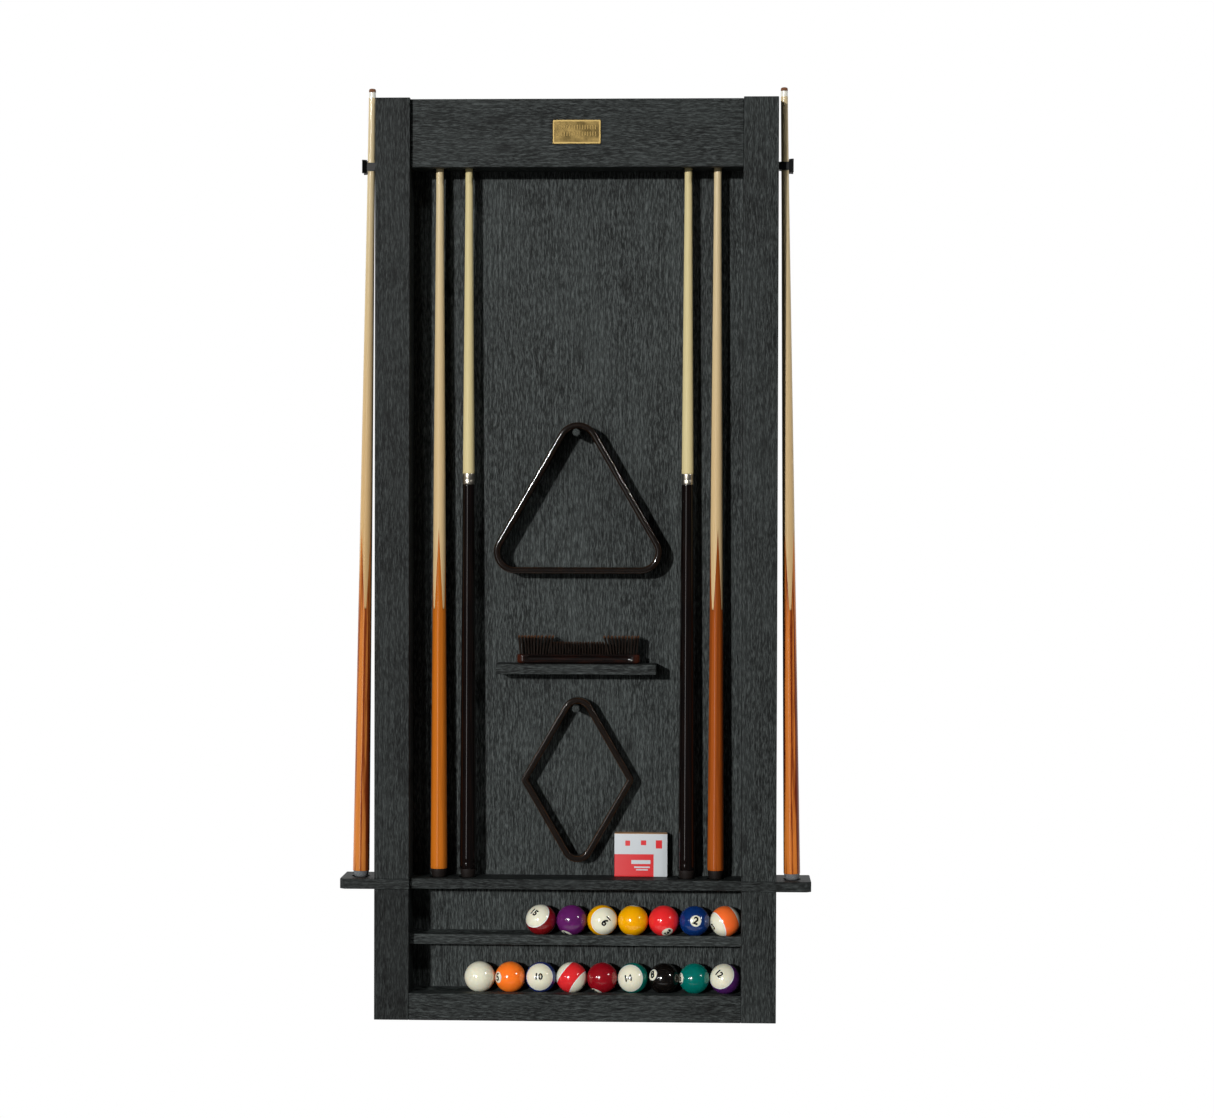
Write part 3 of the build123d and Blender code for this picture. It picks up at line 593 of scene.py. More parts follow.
JOINTED_CUES = {"left_jointed_cue": -0.202, "right_jointed_cue": 0.206}
RING_AT = 0.031
RING_CUT = 0.00018
RING_HALF = 0.0006
SHAFT_CLEAR = 0.00005
SHAFT_BEVEL = 0.0004
COLLAR_LINES = np.array([-0.0006, 0.0, 0.0006, 0.004, 0.008, 0.0085, 0.009, 0.0185, 0.0195, 0.02])
COLLAR_CUTS = COLLAR_STEP * np.array([0.0, 1.0, 0.0, 0.0, 0.0, 0.5, 0.0, 0.0, 0.0, 1.0])
dark_butt = dark_butt_wood()
pale_shaft = pale_shaft_wood()
for cue, x in JOINTED_CUES.items():
    foot = np.array([x, CUE_Y, FOOT_Z])
    collar_at = JOINT_AT - COLLAR
    heights = [INNER_BUMPER, INNER_BUMPER + LEDGE, INNER_BUMPER + BUTT_EDGE]
    heights += [RING_AT - RING_HALF, RING_AT, RING_AT + RING_HALF]
    heights += [*np.linspace(0.04, collar_at - 0.0016, 60), *(collar_at + COLLAR_LINES)]
    radii = np.interp(heights, (INNER_BUMPER, JOINT_AT), (BUTT_R, JOINT_R))
    radii[:2] = BUTT_R - BUTT_EDGE, BUTT_R - BUTT_EDGE * 0.35
    radii[4] -= RING_CUT
    radii[-10:] -= COLLAR_CUTS
    butt = turned(f"{cue}_lacquered_butt", foot, 0.0, heights, radii)
    placed(butt, dark_butt, cue, "dark_butt", f"{cue}_butt")

    top = INNER_LENGTH - LEATHER - FERRULE
    heights = [JOINT_AT, JOINT_AT + 0.0008, *np.linspace(JOINT_AT + 0.003, top, 90)]
    radii = np.interp(heights, (JOINT_AT, SHAFT_AT, top), (JOINT_R, SHAFT_R, TIP_R)) - SHAFT_CLEAR
    radii[0] -= SHAFT_BEVEL
    shaft = turned(f"{cue}_maple_shaft", foot, 0.0, heights, radii)
    placed(shaft, pale_shaft, cue, "shaft_maple", f"{cue}_shaft")
    cue_ends(cue, foot, 0.0, INNER_LENGTH, INNER_BUMPER, black_rubber, "black_rubber")

# --- Balls ---------------------------------------------------------------------------------------
# Sixteen balls of cast phenolic resin: a cream cue ball, seven plain ones, the black and seven banded
# ones. All but the cue ball have a number in two opposite cream fields, inlaid and polished with the ball.

BALL_R = 0.028575
BALL_SLICES = 96
BALL_ROWS = 64
FIELD_EDGE = math.cos(math.radians(21.5))
BAND_EDGE = 0.5
INK = "#0B0B0C"
INK_SPECK = "#1C1C1E"
SPECKS_PER_METRE = 2500.0
INK_HEIGHT = 0.00008
CUT_ROUNDS = 3
SINGLE_SIZE = 0.0195
DOUBLE_SIZE = 0.0165
INK_WEIGHT = 0.04
BAR_DROP = 0.12
FIELD_BLUR = 0.004
RIM_SHARE = 0.13
SEAM_WIDTH = 0.012
TOWARDS_UP = (0.05, 0.3, 1.0)
CREAM = "#E2DFC8"
CREAM_RING = "#E9ECE6"
BALLS = {
    # colour, direction that the number faces, degrees that it is turned
    1: ("#EDA600", (0.10, 0.15, 0.98), 0),
    2: ("#0A2C66", (0.09, -0.98, 0.15), -15),
    3: ("#E02A2C", (0.26, -0.70, -0.66), -17),
    4: ("#5B1C5C", (-0.33, -0.41, -0.85), 0),
    5: ("#FF7A24", (-0.81, -0.59, 0.06), 0),
    6: ("#00695F", (-0.93, -0.37, 0.06), 0),
    7: ("#8A0C18", (-0.36, -0.35, -0.87), 0),
    8: ("#0E0B09", (-0.73, -0.60, 0.33), 17),
    9: ("#EDA600", (0.25, -0.97, 0.05), 140),
    10: ("#1D2F6E", (-0.11, -0.98, 0.19), 0),
    11: ("#D92A2E", (0.79, -0.24, -0.56), -45),
    12: ("#4A1F5C", (-0.42, -0.78, 0.46), -40),
    13: ("#FA7030", (-0.83, -0.41, -0.36), 20),
    14: ("#03685C", (-0.31, -0.94, 0.13), 12),
    15: ("#7A1216", (-0.43, -0.67, 0.60), -30),
}


def resin(name, colour, edge):
    """Polished phenolic resin, its colour deep under a clear gloss.

    Latitude is 1 at the number's centre. Beyond edge the field is cream, with a whiter rim and a hair
    line inside it. With no edge the ball is one colour.
    """
    material, tree = blank(name)
    if edge is None:
        tone = colour
    else:
        latitude = add(tree, "Attribute", give="Fac", attribute_name="latitude")
        field = add(tree, "MapRange", [latitude, edge - FIELD_BLUR, edge + FIELD_BLUR])
        rim = edge + (1 - edge) * RIM_SHARE
        middle = add(tree, "MapRange", [latitude, rim - FIELD_BLUR, rim + FIELD_BLUR])
        seam = add(tree, "Math", [latitude, rim], operation="SUBTRACT")
        off = add(tree, "Math", [seam], operation="ABSOLUTE")
        line = add(tree, "MapRange", [off, 0.0, SEAM_WIDTH, 0.72, 1])
        ring = add(tree, "Mix", [middle, CREAM_RING, CREAM], data_type="RGBA")
        cream = add(tree, "VectorMath", [ring, line], operation="SCALE")
        tone = add(tree, "Mix", [field, colour, cream], data_type="RGBA")
    return shaded(material, tree, {"Base Color": tone, "Roughness": 0.6, "Specular IOR Level": 0.0,
            "Subsurface Weight": 0.35, "Subsurface Radius": (1.0, 0.8, 0.6), "Subsurface Scale": 0.008,
            "Coat Weight": 1.0, "Coat Roughness": 0.13, "Coat IOR": 1.6})


def number_solid(text, height):
    """Points and triangles of a number as a closed thin solid. Each round of cutting puts a point in the
    middle of every edge and makes four triangles of each one, so that the solid can follow the ball."""
    curve = bpy.data.curves.new("number", "FONT")
    curve.body, curve.size = text, height
    curve.space_line = BAR_DROP
    curve.align_x, curve.align_y = "CENTER", "CENTER"
    curve.extrude, curve.offset, curve.resolution_u = INK_HEIGHT, height * INK_WEIGHT, 3
    holder = shown("number", curve)
    bpy.context.view_layer.update()
    mesh = bpy.data.meshes.new_from_object(holder)
    mesh.calc_loop_triangles()
    points = np.zeros(len(mesh.vertices) * 3)
    mesh.vertices.foreach_get("co", points)
    triangles = np.zeros(len(mesh.loop_triangles) * 3, int)
    mesh.loop_triangles.foreach_get("vertices", triangles)
    bpy.data.objects.remove(holder)
    bpy.data.curves.remove(curve)
    bpy.data.meshes.remove(mesh)
    points, same = np.unique(points.reshape(-1, 3).round(7), axis=0, return_inverse=True)
    triangles = same.reshape(-1)[triangles].reshape(-1, 3)
    for _ in range(CUT_ROUNDS):
        edges = np.sort(triangles[:, [0, 1, 1, 2, 2, 0]].reshape(-1, 2), axis=1)
        ends, which = np.unique(edges, axis=0, return_inverse=True)
        middle = which.reshape(-1, 3) + len(points)
        points = np.vstack([points, points[ends].mean(axis=1)])
        corner = triangles
        triangles = np.vstack([middle, np.column_stack([corner[:, 0], middle[:, 0], middle[:, 2]]),
                np.column_stack([corner[:, 1], middle[:, 1], middle[:, 0]]),
                np.column_stack([corner[:, 2], middle[:, 2], middle[:, 1]])])
    return points, triangles


def ball_piece(name, centre, pole, turn, text):
    """Sphere about the number's own axis, its points R (sin p cos a, sin p sin a, cos p) on the axes
    across, up and pole. The number is wrapped on at both poles by pushing each of its points out to the
    ball's radius."""
    pole = np.asarray(pole, float) / np.linalg.norm(pole)
    side = np.cross(TOWARDS_UP, pole)
    side /= np.linalg.norm(side)
    angle = math.radians(turn)
    across = math.cos(angle) * side + math.sin(angle) * np.cross(pole, side)
    up = np.cross(pole, across)
    polar = np.linspace(math.pi, 0, BALL_ROWS + 1)[1:-1, None]
    around = np.linspace(0, 2 * math.pi, BALL_SLICES, endpoint=False)
    unit = np.stack([np.sin(polar) * np.cos(around), np.sin(polar) * np.sin(around),
            np.cos(polar) + 0 * around], -1)
    piece = surface(name, centre + BALL_R * (unit @ np.stack([across, up, pole])),
        centre + BALL_R * np.array([-pole, pole]))
    latitude = np.concatenate([np.abs(unit[..., 2]).ravel(), [1.0, 1.0]])
    if text:
        flat, triangles = number_solid(text, SINGLE_SIZE if len(text) != 2 else DOUBLE_SIZE)
        vertices = np.zeros(len(piece.data.vertices) * 3)
        piece.data.vertices.foreach_get("co", vertices)
        vertices = vertices.reshape(-1, 3)
        faces = [tuple(polygon.vertices) for polygon in piece.data.polygons]
        shell = len(faces)
        for end in (1, -1):
            lie = pole * end + (flat[:, :1] * across * end + flat[:, 1:2] * up) / BALL_R
            lie /= np.linalg.norm(lie, axis=1, keepdims=True)
            faces += (triangles + len(vertices)).tolist()
            vertices = np.vstack([vertices, centre + lie * (BALL_R + flat[:, 2:])])
        latitude = np.concatenate([latitude, np.ones(len(vertices) - len(latitude))])
        piece.data = smooth_mesh(name, vertices, faces)
        piece.data.polygons.foreach_set("material_index", np.repeat([0, 1], [shell, len(faces) - shell]))
    mark(piece.data, "latitude", latitude)
    return piece


def ink():
    """Black inlaid resin, polished with the ball, with faint specks."""
    material, tree = blank("black_inlay")
    place = add(tree, "TexCoord", give="Object")
    speck = add(tree, "TexNoise", {"Vector": place, "Scale": SPECKS_PER_METRE})
    tone = add(tree, "Mix", [speck, INK, INK_SPECK], data_type="RGBA")
    return shaded(material, tree, {"Base Color": tone, "Roughness": 0.2, "Coat Weight": 1.0})


black_inlay = ink()
for number, (colour, pole, turn) in BALLS.items():
    ball = f"ball_{number}"
    # a bar under the number tells 6 from 9
    text = f"{number}\n_" if number in (6, 9) else str(number)
    piece = ball_piece(f"{ball}_cast", np.mean(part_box(ball), axis=0), pole, turn, text)
    finish = resin(f"phenolic_resin_{number}", colour, FIELD_EDGE if number <= 8 else BAND_EDGE)
    placed(piece, finish, f"{ball}_body", ball, ball)
    piece.data.materials.append(black_inlay)
piece = ball_piece("cue_ball_cast", np.mean(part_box("cue_ball"), axis=0), (0.2, 0.3, 0.9), 0, "")
placed(piece, resin("phenolic_resin_cream", CREAM, None), "cue_ball_body", "cue_ball", "cue_ball")

# --- Ball racks ----------------------------------------------------------------------------------
# A steam-bent triangle and a mitred diamond of dark-stained wood, rounded over and varnished, that hang
# over the pegs. Orange-brown along the edges is stain rubbed thin, and painted highlight too.

RACK_X = 0.0025
FRAME_WALL = 0.0115
RACK_BACK_Y = 0.0279
TRIANGLE_TOP = 1.110
TRIANGLE_SIDE = 0.232
TRIANGLE_CORNER = 0.040
TRIANGLE_THICKNESS = 0.054
TRIANGLE_ROUND = 0.0046
DIAMOND_Z = 0.444
DIAMOND_HALF_WIDTH = 0.106
DIAMOND_CORNER = 0.030
DIAMOND_SIDE_CORNER = 0.0125
DIAMOND_THICKNESS = 0.037
DIAMOND_ROUND = 0.0030
TRIANGLE_STAIN = "#080504"
DIAMOND_STAIN = "#0A0604"
RUBBED_BROWN_AND_HIGHLIGHT = "#64401F"
EDGE_PATCHES_PER_METRE = 55.0
FRAME_LINE = (0.0012, 0.03)


def rounded_section(width, depth, radius, steps=7):
    """Rounded rectangle as a counter-clockwise loop of (across, deep) points: four quarter circles."""
    quarter = np.linspace(0, math.pi / 2, steps)
    loops = []
    for k, (sx, sy) in enumerate(((1, 1), (-1, 1), (-1, -1), (1, -1))):
        a = quarter + k * math.pi / 2
        centre = np.array([sx * (width / 2 - radius), sy * (depth / 2 - radius)])
        loops.append(centre + radius * np.column_stack([np.cos(a), np.sin(a)]))
    return np.vstack(loops)


def bent_frame(name, corners, thickness, radius):
    """Section carried round a closed path: at each path point the section's first axis lies along the
    path's outward direction and its second along depth. Corners are (centre x, centre z, radius, start,
    end angle)."""
    path, outward = [], []
    for x, z, bend, start, end in corners:
        angle = np.radians(np.linspace(start, end, 25))
        direction = np.column_stack([np.cos(angle), np.sin(angle)])
        path.append(np.array([x, z]) + (bend - FRAME_WALL / 2) * direction)
        outward.append(direction)
    path, outward = np.vstack(path), np.vstack(outward)
    section = rounded_section(FRAME_WALL, thickness, radius)
    flat = path[:, None] + section[None, :, :1] * outward[:, None]
    deep = section[None, :, 1] + RACK_BACK_Y - thickness / 2
    points = np.stack(np.broadcast_arrays(flat[..., 0], deep, flat[..., 1]), axis=-1)
    along = np.concatenate([[0], np.cumsum(np.linalg.norm(np.diff(path, axis=0), axis=1))])
    own = np.broadcast_arrays(section[None, :, 0], section[None, :, 1] / thickness, along[:, None])
    return surface(name, points, own=np.stack(own, axis=-1).reshape(-1, 3))


def varnished_frame(name, stain_colour):
    """Dark stain under thin varnish: fine grain along the frame, and on the rounded edges a brown that is
    stain rubbed thin and painted highlight. Own holds the place across the section, through it and along
    the path."""
    material, tree = blank(name)
    own = add(tree, "Attribute", give="Vector", attribute_name="own")
    place = add(tree, "TexCoord", give="Object")
    axes = add(tree, "SeparateXYZ", {"Vector": own}).node.outputs
    across = add(tree, "Math", [axes["X"]], operation="ABSOLUTE")
    through = add(tree, "Math", [axes["Y"]], operation="ABSOLUTE")
    outer = add(tree, "MapRange", [across, FRAME_WALL * 0.36, FRAME_WALL * 0.47])
    face = add(tree, "MapRange", [through, 0.44, 0.49])
    edge_noise = add(tree, "TexNoise", {"Vector": place, "Scale": EDGE_PATCHES_PER_METRE, "Detail": 3.0})
    edge_patchiness = add(tree, "MapRange", [edge_noise, 0.35, 0.65, 0.15])
    # The rounded edges turn brown: rubbed stain, and painted highlight as well.
    edge = add(tree, "Math", [outer, face], operation="MULTIPLY")
    rubbed_and_highlit_edge = add(tree, "Math", [edge, edge_patchiness], operation="MULTIPLY")
    vein = grain(tree, own, *FRAME_LINE)
    share = add(tree, "MapRange", [vein, 0.45, 0.8, 0, 0.12])
    stain = add(tree, "Mix", [share, stain_colour, RUBBED_BROWN_AND_HIGHLIGHT], data_type="RGBA")
    colour = add(tree, "Mix", [rubbed_and_highlit_edge, stain, RUBBED_BROWN_AND_HIGHLIGHT], data_type="RGBA")
    return shaded(material, tree, {"Base Color": colour, "Roughness": 0.6, "Specular IOR Level": 0.06,
            "Coat Weight": 0.6, "Coat Roughness": 0.11})


corner_z = TRIANGLE_TOP - TRIANGLE_CORNER
base_z = corner_z - TRIANGLE_SIDE * math.sin(math.radians(60))
triangle_corners = [
    (RACK_X + TRIANGLE_SIDE / 2, base_z, TRIANGLE_CORNER, -90, 30),
    (RACK_X, corner_z, TRIANGLE_CORNER, 30, 150),
    (RACK_X - TRIANGLE_SIDE / 2, base_z, TRIANGLE_CORNER, 150, 270),
]
triangle = bent_frame("triangle_bent_frame", triangle_corners, TRIANGLE_THICKNESS, TRIANGLE_ROUND)
finish = varnished_frame("walnut_stained_triangle", TRIANGLE_STAIN)
placed(triangle, finish, "triangle", "dark_rack_wood", "triangle_rack")

half_height = DIAMOND_HALF_WIDTH / math.tan(math.radians(30))
top_in = DIAMOND_CORNER / math.sin(math.radians(30))
side_in = DIAMOND_SIDE_CORNER / math.cos(math.radians(30))
diamond_corners = [
    (RACK_X + DIAMOND_HALF_WIDTH - side_in, DIAMOND_Z, DIAMOND_SIDE_CORNER, -30, 30),
    (RACK_X, DIAMOND_Z + half_height - top_in, DIAMOND_CORNER, 30, 150),
    (RACK_X - DIAMOND_HALF_WIDTH + side_in, DIAMOND_Z, DIAMOND_SIDE_CORNER, 150, 210),
    (RACK_X, DIAMOND_Z - half_height + top_in, DIAMOND_CORNER, 210, 330),
]
diamond = bent_frame("diamond_mitred_frame", diamond_corners, DIAMOND_THICKNESS, DIAMOND_ROUND)
finish = varnished_frame("walnut_stained_diamond", DIAMOND_STAIN)
placed(diamond, finish, "diamond", "dark_rack_wood", "diamond_rack")

# --- Table brush ---------------------------------------------------------------------------------
# A lacquered hardwood block, coved along both sides for the fingers, with tufts of dark bristle set in
# rows. The end tufts are longer and splay outwards, to reach under the cushions of a table.

BRUSH_X = 0.004
BRUSH_Y = -0.001
BRUSH_Z = 0.6613
BRUSH_LENGTH = 0.229
BRUSH_WIDTH = 0.040
BASE_HEIGHT = 0.0175
BASE_CORNER = 0.012
COVE = 0.0030
COVE_HALF_HEIGHT = 0.0050
COVE_HALF_LENGTH = 0.094
COVE_Z = 0.0095
HAIR = "#1A1009"
HAIR_TIP = "#74451F"
LACQUER_DARK = "#0B0605"
LACQUER_RED = "#4A1E0D"
BEECH_LINE = (0.0016, 0.03)
STRAY = 0.0005
TUFT_ROWS = 5
TUFT_COLUMNS = 42
TUFT_BRISTLES = 34
BRISTLE_R = 0.00024
MID_BRISTLE = 0.0235
END_BRISTLE = 0.0350
END_LENGTH = 0.058
BRISTLE_INSET = 0.004
OUTER_SPLAY = 0.0035
INNER_SPLAY = 0.0085
SIDE_SPLAY = 0.0016


def brush_block():
    """Rounded rectangle raised through a moulded edge: each row is the outline drawn in by the edge's
    inset at that height. The cove's depth falls off from its middle line, as a rounded cutter leaves
    it."""
    lower = np.linspace(0, math.pi / 2, 6)
    upper = lower[1:]
    inset_rise = np.vstack([np.column_stack([0.006 * (1 - np.sin(lower)), 0.005 * (1 - np.cos(lower))]),
            np.column_stack([np.zeros(15), np.linspace(0.0055, 0.0140, 15)]),
            np.column_stack([0.003 * (1 - np.cos(upper)), BASE_HEIGHT - 0.003 * (1 - np.sin(upper))])])
    rows = []
    for inset, rise in inset_rise:
        outline = rounded_section(BRUSH_LENGTH - 2 * inset, BRUSH_WIDTH - 2 * inset, BASE_CORNER - inset, 9)
        straight = np.linspace(0, 1, 60)[1:-1, None]
        full = np.vstack([outline[:9], outline[8] + straight * (outline[9] - outline[8]), outline[9:27]])
        full = np.vstack([full, outline[26] + straight * (outline[27] - outline[26]), outline[27:]])
        beyond = np.maximum(np.abs(full[:, 0]) - COVE_HALF_LENGTH, 0)
        off = np.hypot(beyond, rise - COVE_Z) / COVE_HALF_HEIGHT
        depth = COVE * np.clip(1 - off**2, 0, 1) ** 0.7
        full[:, 1] -= np.sign(full[:, 1]) * depth
        rows.append(np.column_stack([full, np.full(len(full), rise)]))
    grid = np.stack(rows) + np.array([BRUSH_X, BRUSH_Y, BRUSH_Z])
    ends = np.array([(BRUSH_X, BRUSH_Y, BRUSH_Z), (BRUSH_X, BRUSH_Y, BRUSH_Z + BASE_HEIGHT)])
    return surface("brush_coved_block", grid, ends)


def bristles():
    """Each bristle is a three-sided tapering rod on a line that leaves its tuft's hole and bends away: a
    point at share t of the height is root + lean t^1.5 + the rod's own corner. Seeded, so every build is
    the same."""
    rng = np.random.default_rng(7)
    half_length = BRUSH_LENGTH / 2 - BRISTLE_INSET - 0.002
    half_width = BRUSH_WIDTH / 2 - BRISTLE_INSET - 0.002
    x, y = np.meshgrid(np.linspace(-half_length, half_length, TUFT_COLUMNS),
        np.linspace(-half_width, half_width, TUFT_ROWS))
    x, y = np.repeat(x.ravel(), TUFT_BRISTLES), np.repeat(y.ravel(), TUFT_BRISTLES)
    count = len(x)
    hole = rng.normal(0, STRAY, (count, 2)).clip(-2 * STRAY, 2 * STRAY)
    at_end = np.abs(x) > BRUSH_LENGTH / 2 - BRISTLE_INSET - END_LENGTH
    height = np.where(at_end, END_BRISTLE, MID_BRISTLE) * rng.uniform(0.90, 1.0, count)
    tuft_middle = BRUSH_LENGTH / 2 - BRISTLE_INSET - END_LENGTH / 2
    fan = (np.abs(x) - tuft_middle) / (END_LENGTH / 2)
    splay = np.where(at_end, np.where(fan > 0, OUTER_SPLAY, INNER_SPLAY) * fan, 0.0)
    lean_x = np.sign(x) * splay + rng.normal(0, STRAY, count)
    lean_y = y / half_width * SIDE_SPLAY + rng.normal(0, 0.0006, count)
    share = np.array([0.0, 0.5, 1.0])
    corner = np.radians([90, 210, 330])
    thin = np.array([1.0, 0.9, 0.45])
    middle = np.stack([(x + hole[:, 0])[:, None] + lean_x[:, None] * share**1.5,
            (y + hole[:, 1])[:, None] + lean_y[:, None] * share**1.5, height[:, None] * share], axis=-1)
    rod = np.stack([np.cos(corner), np.sin(corner), 0 * corner], axis=-1) * BRISTLE_R
    points = middle[:, :, None] + rod * thin[:, None, None]
    reach = BRUSH_LENGTH / 2 - BRISTLE_INSET / 2
    points[..., 0] = points[..., 0].clip(-reach, reach)
    depth = BRUSH_WIDTH / 2 - BRISTLE_INSET
    points[..., 1] = points[..., 1].clip(-depth, depth)
    points += np.array([BRUSH_X, BRUSH_Y, BRUSH_Z + BASE_HEIGHT - 0.0006])
    a, b = np.arange(6), np.array([1, 2, 0, 4, 5, 3])
    first = 9 * np.arange(count)[:, None, None]
    quads = first + np.column_stack([a, b, b + 3, a + 3])
    caps = first + np.array([(2, 1, 0), (6, 7, 8)])
    faces = quads.reshape(-1, 4).tolist() + caps.reshape(-1, 3).tolist()
    mesh = bpy.data.meshes.new("brush_tufts")
    mesh.from_pydata(points.reshape(-1, 3).tolist(), [], faces)
    shade = np.repeat(rng.uniform(0, 1, count), 9)
    own = np.column_stack([shade, np.tile(np.repeat(share, 3), count), np.repeat(at_end, 9)])
    mark(mesh, "own", own)
    return shown("brush_tufts", mesh)


def lacquered_block():
    """Near-black lacquer over reddish beech, which shows where the lacquer is thin at the ends."""
    material, tree = blank("lacquered_beech_block")
    place = add(tree, "TexCoord", give="Object")
    block = add(tree, "Mapping", {"Vector": place, "Location": (-BRUSH_X, -BRUSH_Y, -BRUSH_Z)})
    level = add(tree, "Mapping", {"Vector": block, "Rotation": LEVEL})
    vein = grain(tree, level, *BEECH_LINE)
    x = add(tree, "SeparateXYZ", {"Vector": block}, give="X")
    out = add(tree, "Math", [x], operation="ABSOLUTE")
    end = add(tree, "MapRange", [out, 0.100, 0.114, 0, 0.8])
    line = add(tree, "MapRange", [vein, 0.5, 0.8, 0, 0.35])
    share = add(tree, "Math", [end, line], operation="MAXIMUM")
    colour = add(tree, "Mix", [share, LACQUER_DARK, LACQUER_RED], data_type="RGBA")
    return shaded(material, tree, {"Base Color": colour, "Roughness": 0.55, "Specular IOR Level": 0.05,
            "Coat Weight": 1.0, "Coat Roughness": 0.10})


def bristle_fibre():
    """Dark dyed horsehair: each hair its own shade, and browner at its tip."""
    material, tree = blank("dyed_horsehair")
    own = add(tree, "Attribute", give="Vector", attribute_name="own")
    axes = add(tree, "SeparateXYZ", {"Vector": own}).node.outputs
    tip = add(tree, "MapRange", [axes["Y"], 0.90, 1.0, 0, 0.8])
    far = add(tree, "MapRange", [axes["Z"], 0, 1, 0.25, 1.0])
    brown = add(tree, "Math", [tip, far], operation="MULTIPLY")
    own_brown = add(tree, "Math", [brown, axes["X"]], operation="MULTIPLY")
    colour = add(tree, "Mix", [own_brown, HAIR, HAIR_TIP], data_type="RGBA")
    return shaded(material, tree, {"Base Color": colour, "Roughness": 0.5, "Specular IOR Level": 0.08})


placed(brush_block(), lacquered_block(), "brush", "brush_wood", "brush_base")
placed(bristles(), bristle_fibre(), "brush", "bristle", "brush_bristles")

# --- Chalk box -----------------------------------------------------------------------------------
# A folded carton of coated white board for a dozen cubes of chalk, printed red on its front and closed by a
# tuck flap. The cut edge and the top show the grey-brown board.

CHALK_X = 0.121
CHALK_Y = 0.0167
CHALK_Z = 0.2623
CHALK_SIZE = (0.099, 0.023, 0.081)
CARD_EDGE = 0.0007
CARD_RED = "#CC181F"
CARD_WHITE = "#BFC4C7"
CARD_TAN = "#B58A5E"
CARD_PER_METRE = 900.0
CARD_BOW = 0.00025
FLAP_STEP = 0.0005
FLAP_DIP = 0.0001
FACE_DEPTH = 0.0009
CARD_PRINT = (
    # ink laid or left out, then middle and half size across and up, as shares of the face
    ("ADD", 0.36, 0.25, 0.38, 0.27),
    ("ADD", 0.25, 0.775, 0.045, 0.060),
    ("ADD", 0.55, 0.785, 0.050, 0.055),
    ("ADD", 0.84, 0.750, 0.060, 0.095),
    ("SUBTRACT", 0.50, 0.34, 0.180, 0.045),
    ("SUBTRACT", 0.52, 0.22, 0.150, 0.018),
    ("SUBTRACT", 0.52, 0.16, 0.110, 0.014),
)


def carton():
    """Rounded rectangle raised to the box's height, its faces bowed out slightly in the middle, with the
    top drawn in round the tuck flap's crease."""
    width, depth, height = CHALK_SIZE
    levels = [0.0, 0.0004, 0.0010, *np.linspace(0.004, height - 0.004, 14), height - 0.0012,
        height - FLAP_STEP, height]
    drawn = [0.0005, 0.0001, 0.0, *[0.0] * 14, 0.0, 0.0001, 0.0006]
    rows = []
    for level, inset in zip(levels, drawn):
        outline = rounded_section(width - 2 * inset, depth - 2 * inset, CARD_EDGE, 4)
        outline[:, 1] -= np.sign(outline[:, 1]) * CARD_BOW * (1 - math.sin(math.pi * level / height))
        rows.append(np.column_stack([outline, np.full(len(outline), level)]))
    crease = rounded_section(width - 0.0035, depth - 0.0030, CARD_EDGE, 4)
    rows.append(np.column_stack([crease, np.full(len(crease), height)]))
    rows.append(np.column_stack([crease * 0.996, np.full(len(crease), height - FLAP_STEP)]))
    flap = rounded_section(width - 0.0050, depth - 0.0045, CARD_EDGE, 4)
    rows.append(np.column_stack([flap, np.full(len(flap), height - FLAP_STEP)]))
    rows.append(np.column_stack([flap * 0.998, np.full(len(flap), height - FLAP_DIP)]))
    foot = np.array([CHALK_X, CHALK_Y, CHALK_Z])
    ends = foot + np.array([(0, 0, 0), (0, 0, height - FLAP_DIP)])
    return surface("chalk_carton", np.stack(rows) + foot, ends)


def printed_card():
    """Clay-coated carton board: red ink in a panel and three small squares on the front face, with plain
    white bars left out of the panel, soft gloss, and the cut board's colour on top."""
    material, tree = blank("printed_carton_board")
    place = add(tree, "TexCoord", give="Object")
    left, front = CHALK_X - CHALK_SIZE[0] / 2, CHALK_Y - CHALK_SIZE[1] / 2
    card = add(tree, "Mapping", {"Vector": place, "Location": (-left, -front, -CHALK_Z)})
    axes = add(tree, "SeparateXYZ", {"Vector": card}).node.outputs
    width, _, height = CHALK_SIZE
    printed = 0.0
    for kind, x, z, half_x, half_z in CARD_PRINT:
        off_x = add(tree, "Math", [axes["X"], x * width, half_x * width], operation="COMPARE")
        off_z = add(tree, "Math", [axes["Z"], z * height, half_z * height], operation="COMPARE")
        patch = add(tree, "Math", [off_x, off_z], operation="MULTIPLY")
        printed = add(tree, "Math", [printed, patch], operation=kind)
    inked = add(tree, "Math", [printed, 0.5], operation="GREATER_THAN")
    in_front = add(tree, "Math", [axes["Y"], FACE_DEPTH], operation="LESS_THAN")
    red = add(tree, "Math", [inked, in_front], operation="MULTIPLY")
    top = add(tree, "Math", [axes["Z"], height - FACE_DEPTH], operation="GREATER_THAN")
    fibre = add(tree, "TexNoise", {"Vector": card, "Scale": CARD_PER_METRE, "Detail": 3.0})
    scuff = add(tree, "MapRange", [fibre, 0.3, 0.7, 0.93, 1])
    paper = add(tree, "Mix", [red, CARD_WHITE, CARD_RED], data_type="RGBA")
    board = add(tree, "Mix", [top, paper, CARD_TAN], data_type="RGBA")
    colour = add(tree, "VectorMath", [board, scuff], operation="SCALE")
    bump = add(tree, "Bump", {"Strength": 0.15, "Distance": FINE_RELIEF, "Height": fibre})
    return shaded(material, tree, {"Base Color": colour, "Roughness": 0.5, "Normal": bump})


placed(carton(), printed_card(), "chalk", "carton", "chalk_box")

# --- Studio --------------------------------------------------------------------------------------
# A pale floor, a white surround that gives the rack little light of its own, two lamps at the left whose
# shadows cross, a weaker one at the right, a tall strip lamp for long glints, and a long lens from in
# front.

